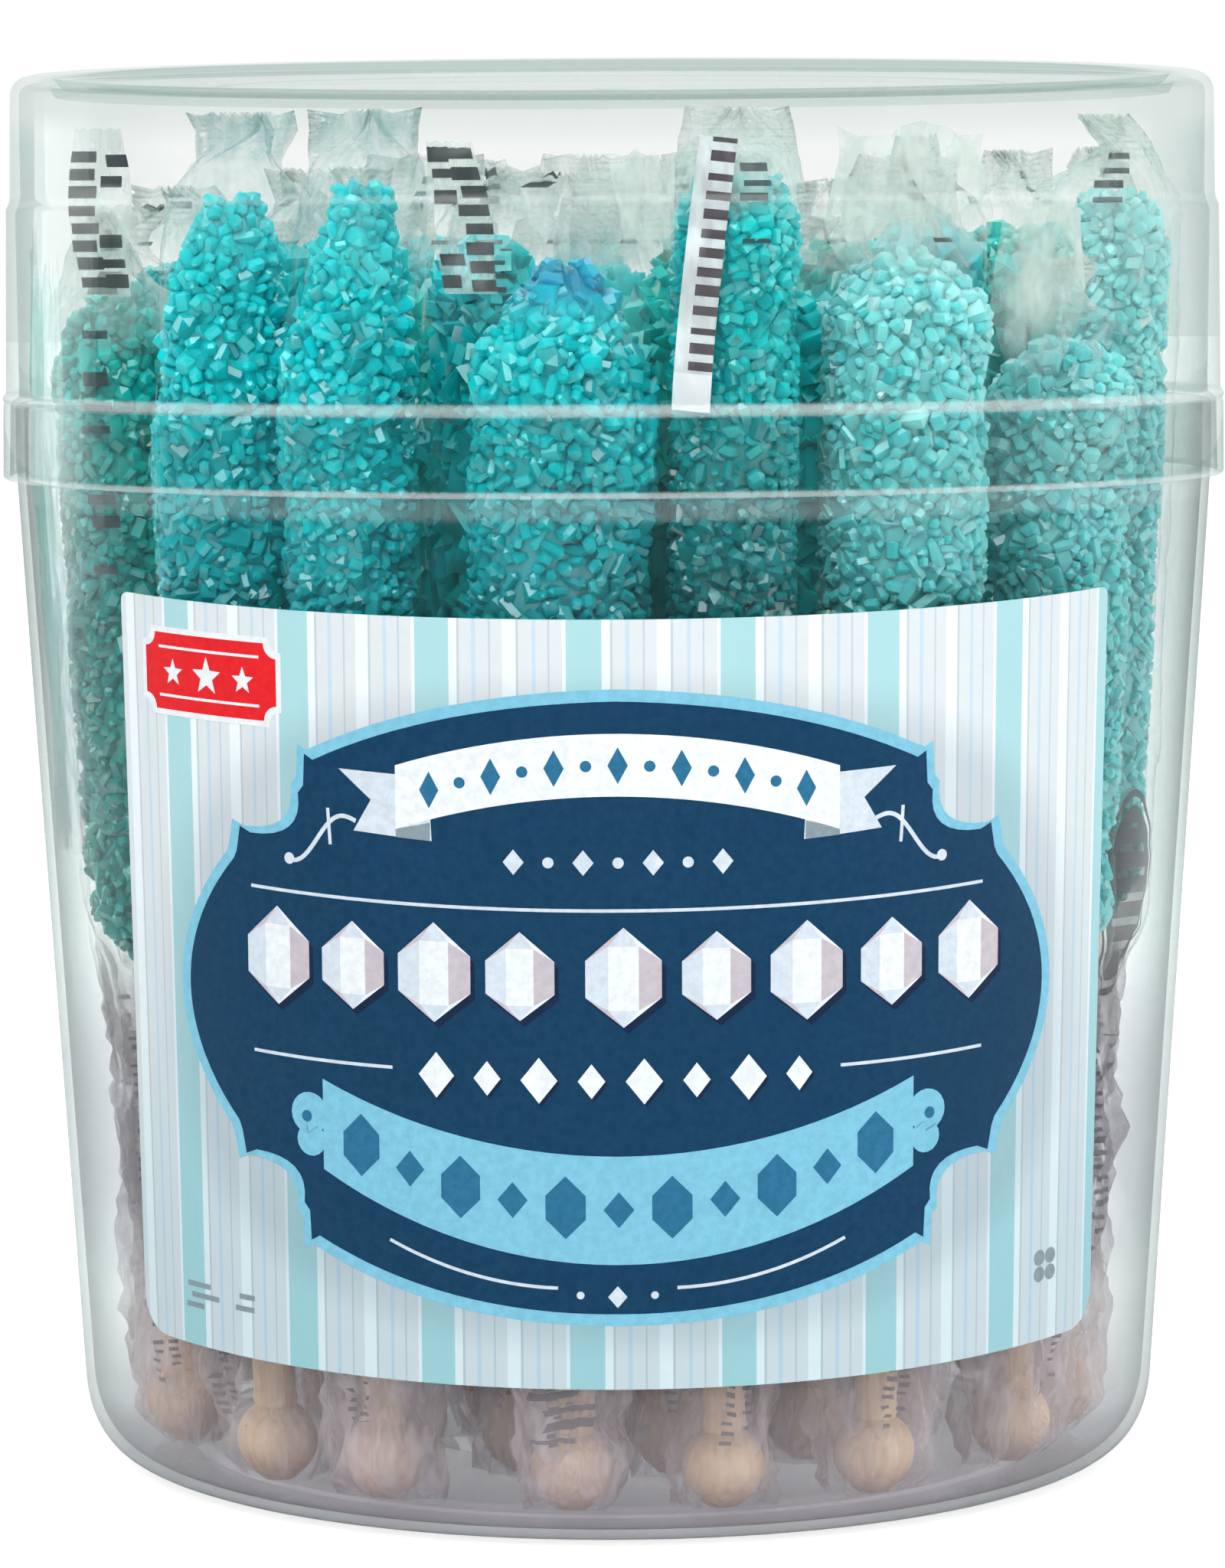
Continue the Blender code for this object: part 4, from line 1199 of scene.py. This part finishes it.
def rule(points, width):
    """A thin printed line along the points, as one outline."""
    left, right = [], []
    for i, (u, v) in enumerate(points):
        a = points[max(i - 1, 0)]
        b = points[min(i + 1, len(points) - 1)]
        du, dv = b[0] - a[0], b[1] - a[1]
        n = math.hypot(du, dv)
        nu, nv = -dv / n * width / 2, du / n * width / 2
        left.append((u + nu, v + nv))
        right.append((u - nu, v - nv))
    return left + right[::-1]


def ribbon(p0, pm, p1, h0, hm, n=28):
    """A curved band round the parabola p0-pm-p1, h0 high at its ends and hm in the middle."""
    mid = through(p0, pm, p1, n)
    upper, lower = [], []
    for i, (u, v) in enumerate(mid):
        t = abs(i / n * 2 - 1)
        h = hm + (h0 - hm) * t * t
        upper.append((u, v + h / 2))
        lower.append((u, v - h / 2))
    return upper + lower[::-1]


def rounded_sheet():
    w, h = LABEL_W / 2, LABEL_H / 2
    pts = []
    for su, sv, a0 in ((1, 1, 0), (-1, 1, 90), (-1, -1, 180), (1, -1, 270)):
        c = LABEL_TOP_CORNER if sv > 0 else LABEL_CORNER
        for i in range(9):
            a = math.radians(a0 + 90 * i / 8)
            pts.append((su * (w - c) + c * math.cos(a), sv * (h - c) + c * math.sin(a)))
    return pts


def gem(cu, cv, w, h):
    """A standing crystal: outline, left facet, middle facet, right facet."""
    x, m, y = w / 2, w * 0.20, h / 2
    left = [(cu - m, cv + y * 0.62), (cu - x, cv + y * 0.34), (cu - x, cv - y * 0.40), (cu - m, cv - y * 0.66)]
    mid = [(cu - m, cv + y * 0.62), (cu - m, cv - y * 0.66), (cu + m, cv - y * 0.66), (cu + m, cv + y * 0.62)]
    right = [(cu + m, cv + y * 0.62), (cu + m, cv - y * 0.66), (cu + x, cv - y * 0.40), (cu + x, cv + y * 0.34)]
    cap_l = [(cu, cv + y), (cu - x, cv + y * 0.34), (cu - m, cv + y * 0.62)]
    cap_m = [(cu, cv + y), (cu - m, cv + y * 0.62), (cu + m, cv + y * 0.62)]
    cap_r = [(cu, cv + y), (cu + m, cv + y * 0.62), (cu + x, cv + y * 0.34)]
    foot_l = [(cu, cv - y), (cu - m, cv - y * 0.66), (cu - x, cv - y * 0.40)]
    foot_m = [(cu, cv - y), (cu + m, cv - y * 0.66), (cu - m, cv - y * 0.66)]
    foot_r = [(cu, cv - y), (cu + x, cv - y * 0.40), (cu + m, cv - y * 0.66)]
    outline = [(cu, cv + y), (cu - x, cv + y * 0.34), (cu - x, cv - y * 0.40), (cu, cv - y), (cu + x, cv - y * 0.40), (cu + x, cv + y * 0.34)]
    return outline, [mid, cap_r, foot_r], [left, cap_m, foot_m], [right, cap_l, foot_l]


def build_label():
    made = []
    base = 0.60
    paper = striped_paper("label_paper")
    navy, pale, white = ink("ink_navy", (0, 54, 86)), ink("ink_pale_blue", (118, 184, 208)), ink("ink_white", (222, 228, 232))
    ice, rose, deep = ink("ink_ice", (198, 210, 220)), ink("ink_rose_grey", (188, 180, 188)), ink("ink_deep_navy", (4, 32, 62))
    teal_ink = ink("ink_steel_blue", (36, 104, 140))
    red, grey = ink("ink_red", (216, 26, 34)), ink("ink_grey", (128, 144, 152))

    sheet = flat_piece("label_sheet", [rounded_sheet()], base, paper, thick=0.30, step=1.5)
    made.append(sheet)

    def layer(name, outlines, level, mat, turn=0.0):
        made.append(flat_piece(name, outlines, base + 0.02 * level, mat, turn=turn))

    layer("plaque_border", [plaque_outline(1.5)], 1, pale)
    layer("plaque", [plaque_outline()], 2, navy)
    # upper ribbon with folded tails
    band = ribbon((-27.6, 25.9), (0.3, 30.5), (28.2, 25.6), 8.0, 7.8)
    tails, folds = [], []
    for s in (-1, 1):
        c = 0.3
        tails.append([(c + s * 23.6, 28.6), (c + s * 35.6, 29.1), (c + s * 31.2, 25.4), (c + s * 33.6, 21.4), (c + s * 23.2, 20.6)][:: s])
        folds.append([(c + s * 27.9, 21.9), (c + s * 27.9, 20.9), (c + s * 23.4, 20.6), (c + s * 23.4, 22.9)][:: s])
    layer("ribbon_tails", tails, 3, ice)
    layer("ribbon_folds", folds, 4, grey)
    layer("ribbon_band", [band], 5, white)
    beads = []
    for i in range(13):
        t = -1 + 2 * i / 12
        u = 0.3 + 23.5 * t
        v = 30.45 - 3.45 * t * t
        if i % 2 == 0:
            beads.append([(u, v + 2.3), (u - 1.25, v), (u, v - 2.3), (u + 1.25, v)])
        else:
            beads.append(circle(u, v, 0.72, 12))
    layer("ribbon_beads", beads, 6, teal_ink)
    # thin rules, curls and the small row under the ribbon
    lines = [rule([(u, 12.3 + 0.9 * (u / 49) ** 2) for u in np.linspace(-48.6, 49.0, 40)], 0.42)]
    lines.append(rule([(u, -8.3 + 0.7 * ((u + 28) / 20) ** 2 * 0.5) for u in np.linspace(-48.6, -28.4, 12)], 0.42))
    lines.append(rule([(u, -8.3 + 0.7 * ((u - 28) / 20) ** 2 * 0.5) for u in np.linspace(28.4, 49.0, 12)], 0.42))
    for s in (-1, 1):
        lines.append(rule([(s * (7.4 + 21.6 * t), -35.5 + 4.7 * t * t + 0.4 * t) for t in np.linspace(0, 1, 16)], 0.42))
        curl = [(s * (33.0 + 9.0 * t), 22.6 - 4.2 * t + 1.6 * math.sin(t * 5.2)) for t in np.linspace(0, 1, 18)]
        lines.append(rule(curl, 0.55))
        lines.append(rule([(s * (36.6 + 0.3 * t), 19.4 + 4.6 * t) for t in np.linspace(0, 1, 4)], 0.45))
    layer("rules", lines, 3, ice)
    dots = [circle(s * 42.6, 17.2, 0.75, 12) for s in (-1, 1)] + [circle(s * 4.6, -36.4, 0.5, 10) for s in (-1, 1)]
    dots.append([(0.0, -35.2), (-1.2, -36.6), (0.0, -38.0), (1.2, -36.6)])
    for i in range(7):
        u = -12.6 + 4.3 * i
        dots.append([(u, 19.9), (u - 1.3, 18.3), (u, 16.7), (u + 1.3, 18.3)] if i % 2 == 0 else circle(u, 18.3, 0.7, 12))
    layer("dots", dots, 4, ice)
    # the large row of crystals, in two groups, and the small row below
    shade, light, middle, dark = [], [], [], []
    spots = [-44.6 + 10.9 * i for i in range(4)] + [0.9 + 11.5 * i for i in range(5)]
    for n, u in enumerate(spots):
        w, h = (9.4, 12.6) if n % 2 == 0 else (8.6, 11.2)
        v = 3.9 + 0.9 * (u / 49) ** 2
        o, a, b, c = gem(u, v, w, h)
        shade.append([(p + 0.55, q - 0.75) for p, q in o])
        light += a
        middle += b
        dark += c
    layer("crystal_shadows", shade, 3, deep)
    layer("crystal_light", light, 4, white)
    layer("crystal_mid", middle, 4, ice)
    layer("crystal_dark", dark, 4, rose)
    small, small_shade = [], []
    for i in range(8):
        u = -22.6 + 6.5 * i
        v = -9.2 + 0.0006 * u * u
        w, h = (2.3, 2.9) if i % 2 == 0 else (1.7, 2.2)
        small.append([(u, v + h), (u - w, v), (u, v - h), (u + w, v)])
        small_shade.append([(p + 0.3, q - 0.4) for p, q in small[-1]])
    layer("small_shadows", small_shade, 3, deep)
    layer("small_crystals", small, 4, white)
    # lower ribbon: curved band with round ears
    band2 = ribbon((-38.2, -16.4), (0.2, -25.6), (38.6, -16.4), 11.6, 13.8)
    ears = [circle(s * 40.4 + 0.2, -15.2, 2.7, 20) for s in (-1, 1)] + [circle(s * 40.2 + 0.2, -18.6, 2.1, 18) for s in (-1, 1)]
    layer("lower_ribbon_ears", ears, 3, pale)
    layer("lower_ribbon", [band2], 4, pale)
    marks = [circle(s * 40.8 + 0.2, -15.6, 0.75, 12) for s in (-1, 1)]
    for i in range(11):
        t = -1 + 2 * i / 10
        u = 0.2 + 33.0 * t
        v = -25.5 + 6.9 * t * t
        if i % 2 == 0:
            marks.append([(u, v + 4.0), (u - 2.5, v + 1.5), (u - 2.5, v - 1.5), (u, v - 4.0), (u + 2.5, v - 1.5), (u + 2.5, v + 1.5)])
        else:
            marks.append([(u, v + 2.3), (u - 1.9, v), (u, v - 2.3), (u + 1.9, v)])
    layer("lower_ribbon_marks", marks, 5, teal_ink)
    # red ticket with stars, top left
    def ticket(grow):
        w, h, r = 11.2 + grow, 4.9 + grow, 1.9
        pts = []
        for su, sv, a0 in ((1, 1, 270), (-1, 1, 0), (-1, -1, 90), (1, -1, 180)):
            for i in range(7):
                a = math.radians(a0 - 90 * i / 6)
                pts.append((-55.4 + su * w + r * math.cos(a), 39.2 + sv * h + r * math.sin(a)))
        return pts

    layer("ticket_edge", [ticket(0.75)], 1, white)
    layer("ticket", [ticket(0.0)], 2, red)
    layer("ticket_line", [rule([(-64.0 + 17.2 * t, 42.3) for t in np.linspace(0, 1, 10)], 0.35), rule([(-64.0 + 17.2 * t, 36.1) for t in np.linspace(0, 1, 10)], 0.35)], 3, white)
    layer("ticket_stars", [star(-55.4, 39.1, 2.5), star(-61.4, 39.1, 1.8), star(-49.4, 39.1, 1.8)], 3, white)
    # small plain marks near the lower corners
    bits = []
    for k, (u, v, w) in enumerate(((-59.6, -40.4, 4.4), (-58.4, -41.8, 5.2), (-60.4, -43.2, 3.4), (-50.8, -40.6, 2.6), (-51.2, -42.2, 3.2))):
        bits.append([(u - w / 2, v - 0.35), (u + w / 2, v - 0.35), (u + w / 2, v + 0.35), (u - w / 2, v + 0.35)])
    for i in range(4):
        a = math.radians(45 + 90 * i)
        bits.append(circle(61.2 + 1.55 * math.cos(a), -38.6 + 1.55 * math.sin(a), 1.05, 14))
    layer("corner_marks", bits, 1, grey)
    return made


# ---------------------------------------------------------------------------
# build
# ---------------------------------------------------------------------------
# the edge colours are painted shade at the walls' outlines; the listed heights are painted highlight lines along the
# moulded edges
plastic_tub = clear_plastic("tub_plastic", (0.982, 0.989, 0.989, 1), srgb(184, 203, 200), 0.0012, [(131.6, 2.0, 0.055)], foot=13.0)
plastic_lid = clear_plastic("lid_plastic", (0.974, 0.981, 0.977, 1), srgb(208, 226, 223), 0.0014, [(143.7, 1.0, 0.18), (133.2, 0.8, 0.19), (169.5, 0.7, 0.06)])

tub = lathe("tub_shell", tub_profile(), plastic_tub)
ride(tub)
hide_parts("tub")
lid = lathe("lid_shell", lid_profile(), plastic_lid)
ride(lid)
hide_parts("lid")

for piece in build_label():
    ride(piece)
    if piece.name == "label_sheet":
        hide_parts("label")

# each: name, deep, middle and pale colours, how far it is painted darker lower down (painted shade) and how far paler
# towards the top (painted light); the last is a paler copy of the sugar for the candies on the right, where the wall's
# reflection washes them out, a painted reflection
SHADES = [
    ("candy_bright", srgb(0, 152, 160), srgb(0, 210, 219), srgb(42, 238, 246), 0.07, 0.42),
    ("candy_deep", srgb(0, 134, 140), srgb(0, 190, 194), srgb(30, 226, 230), 0.42, 0.28),
    ("candy_green", srgb(0, 128, 124), srgb(0, 188, 180), srgb(44, 224, 218), 0.08, 0.35),
    ("candy_soft", srgb(60, 190, 194), srgb(118, 222, 224), srgb(176, 242, 240), 0.10, 0.40),
]
shades = [rock_candy(n, d, c, p, i * 3.1, dim, lift) for i, (n, d, c, p, dim, lift) in enumerate(SHADES)]
# painted light: inside the pack the lower parts are painted paler, standing in for the light that the sugar passes on
inner_painted_light_shades = [rock_candy(n + "_in", d, c, p, 40.0 + i * 3.1, -0.80, 0.0) for i, (n, d, c, p, dim, lift) in enumerate(SHADES[:3])]
tipped = rock_candy("candy_blue_tip", *SHADES[0][1:4], 7.7, 0.22, 0.06, tip=162.5)
films = {k: film("film_" + k, k, float(i)) for i, k in enumerate(("plain", "column", "side", "oval", "flag", "clear", "painted_teal", "pressed"))}
stick_wood = wood("stick_wood")
# for the candies at the front: shade, form of the tip, wrapper's print, extra radius,
# how far the label hides it, how thickly the wrapper veils its knob, and how far the
# tip leans
LOOK = {
    1: (2, "rough", "column", -0.4, 0.0, 1.20, 0.0),
    2: (0, "peak", "painted_teal", 0.4, 0.0, 0.55, 3.6),
    3: (0, "peak", "painted_teal", 0.4, 108.0, 1.30, 3.6),
    4: (4, "point", "side", 0.8, 108.0, 1.40, 0.8),
    5: (1, "rough", "plain", 0.3, 108.0, 0.55, 0.6),
    6: (3, "dome", "plain", 0.5, 108.0, 0.70, 0.0),
    7: (3, "dome", "plain", 0.2, 0.0, 1.30, 0.0),
    8: (3, "rough", "oval", -2.2, 0.0, 1.35, 0.0),
}

# where the wrapper lies milky over the tip: how far down, and how thick
CAP = {1: (8.0, 0.50), 2: (14.0, 0.28), 3: (14.0, 0.30), 5: (7.0, 0.75), 8: (26.0, 0.34)}

for n in range(1, 37):
    node = "candy_%02d" % n
    rng = np.random.default_rng(1000 + n)
    info = levels(node)
    outer = n <= 17
    mid = info[1][3]
    outward = math.atan2(mid[1], mid[0])
    plain_look = (int(rng.integers(3)), ("rough", "dome", "point", "peak")[int(rng.integers(4))], "plain", 0.0, 0.0, float(rng.uniform(0.8, 1.2)), 0.0)
    shade, kind, print_kind, grow, hidden, veil, shift = LOOK.get(n, plain_look)
    side = outward
    if n in (1, 8):
        side = -math.pi / 2 + (-0.12 if n == 8 else -0.1)
    ob, axis, surface, low, tip, env = make_candy("crystals_%02d" % n, info, rng, (shades + [tipped])[shade] if outer else inner_painted_light_shades[shade], kind, outer, outward, hidden, grow, shift, np.random.default_rng(6000 + n) if n <= 8 else None)
    ride(ob)
    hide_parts(node)
    ride(make_stick("stick_%02d" % n, info, rng, stick_wood))
    ride(make_film("wrapper_%02d" % n, info, rng, films[print_kind], axis, surface, low, tip, env, outer, side, veil, outward + math.pi / 2 if n <= 8 else None, CAP.get(n, (8.0, 0.0))))
for flap in (
    make_flap("wrapper_fold_01", films["flag"], (-66.0, -36.0), (-66.4, -35.0), 157.5, 179.0, 7.8, 0.62, np.random.default_rng(78)),
    make_flap("wrapper_fold_03", films["flag"], (-17.4, -74.6), (-20.0, -73.6), 158.0, 176.5, 7.4, 0.62, np.random.default_rng(79), flip=True),
    make_flap("wrapper_fold_04", films["clear"], (4.8, -76.4), (3.6, -75.6), 161.0, 174.5, 8.4, 0.85, np.random.default_rng(80), foot=0.45),
    make_flap("wrapper_fold_06", films["clear"], (36.6, -64.5), (37.4, -60.5), 159.5, 178.0, 21.5, 0.78, np.random.default_rng(81), foot=0.72),
    make_flap("wrapper_fold_07", films["clear"], (53.4, -50.6), (54.6, -48.8), 146.5, 169.0, 12.4, 0.90, np.random.default_rng(82), foot=0.55),
):
    ride(flap)
ride(make_pressed("wrapper_side_01", films["pressed"], math.radians(176.0), math.radians(203.0), 84.0, 164.0, np.random.default_rng(83)))
strip = make_strip("wrapper_seal_05", seal_strip("film_seal"), 9.5, 13.1, -76.7, 143.5, 177.0, 4.9, np.random.default_rng(77))
ride(strip)

# floor
fm = bpy.data.meshes.new("floor")
bm = bmesh.new()
bmesh.ops.create_grid(bm, x_segments=8, y_segments=8, size=6.0)
bm.to_mesh(fm)
bm.free()
fm.materials.append(floor_material())
floor = bpy.data.objects.new("floor", fm)
floor.location = (0, 3.0, -0.0002)
scene.collection.objects.link(floor)

# light: a white tent, with soft boxes above and at both sides
world = bpy.data.worlds.new("world")
world.use_nodes = True
wt = world.node_tree
bg = wt.nodes["Background"]
path = wt.nodes.new("ShaderNodeLightPath")


def level(op, a, b):
    n = wt.nodes.new("ShaderNodeMath")
    n.operation = op
    for sock, v in zip(n.inputs, (a, b)):
        if isinstance(v, bpy.types.NodeSocket):
            wt.links.new(v, sock)
        else:
            sock.default_value = v
    return n.outputs[0]


def fade(v, a, b, lo, hi):
    n = wt.nodes.new("ShaderNodeMapRange")
    n.interpolation_type = "SMOOTHSTEP"
    wt.links.new(v, n.inputs[0])
    for k, x in enumerate((a, b, lo, hi), 1):
        n.inputs[k].default_value = x
    return n.outputs[0]


# seen directly the tent is white; it fills from above, and what it mirrors in the
# plastic is bright behind and overhead and dim on the camera's side
wc = wt.nodes.new("ShaderNodeTexCoord")
ws = wt.nodes.new("ShaderNodeSeparateXYZ")
wt.links.new(wc.outputs["Generated"], ws.inputs[0])
fill = level("ADD", fade(ws.outputs[2], 0.0, 1.0, 0.20, 0.80), fade(ws.outputs[1], 0.0, 0.9, 0.0, 0.45))
mirrored = level("ADD", fade(ws.outputs[1], 0.1, 0.75, 0.08, 0.95), fade(ws.outputs[2], 0.45, 0.9, 0.0, 0.8))
is_camera, is_glossy = path.outputs["Is Camera Ray"], path.outputs["Is Glossy Ray"]
other = level("SUBTRACT", level("SUBTRACT", 1.0, is_camera), is_glossy)
strength = level("ADD", is_camera, level("MULTIPLY", is_glossy, mirrored))
strength = level("ADD", strength, level("MULTIPLY", level("MAXIMUM", other, 0.0), fill))
wt.links.new(strength, bg.inputs[1])
bg.inputs[0].default_value = (1.0, 1.0, 1.0, 1.0)
scene.world = world


def soft_box(name, loc, target, size, power, size_y=None, colour=(1, 1, 1)):
    light = bpy.data.lights.new(name, "AREA")
    light.energy = power
    light.color = colour
    light.size = size
    if size_y:
        light.shape = "RECTANGLE"
        light.size_y = size_y
    ob = bpy.data.objects.new(name, light)
    ob.location = loc
    ob.rotation_euler = (Vector(target) - Vector(loc)).to_track_quat("-Z", "Y").to_euler()
    ob.visible_camera = False
    scene.collection.objects.link(ob)
    return ob


soft_box("box_front", (-0.25, -0.95, 1.05), (0, 0, 0.09), 1.0, 15.5)
soft_box("box_right", (1.08, -0.21, 0.35), (0, 0, 0.1), 1.2, 7.5, 1.0)
soft_box("box_left", (-0.90, 0.63, 0.35), (0, 0, 0.1), 0.5, 2.2, 0.9)
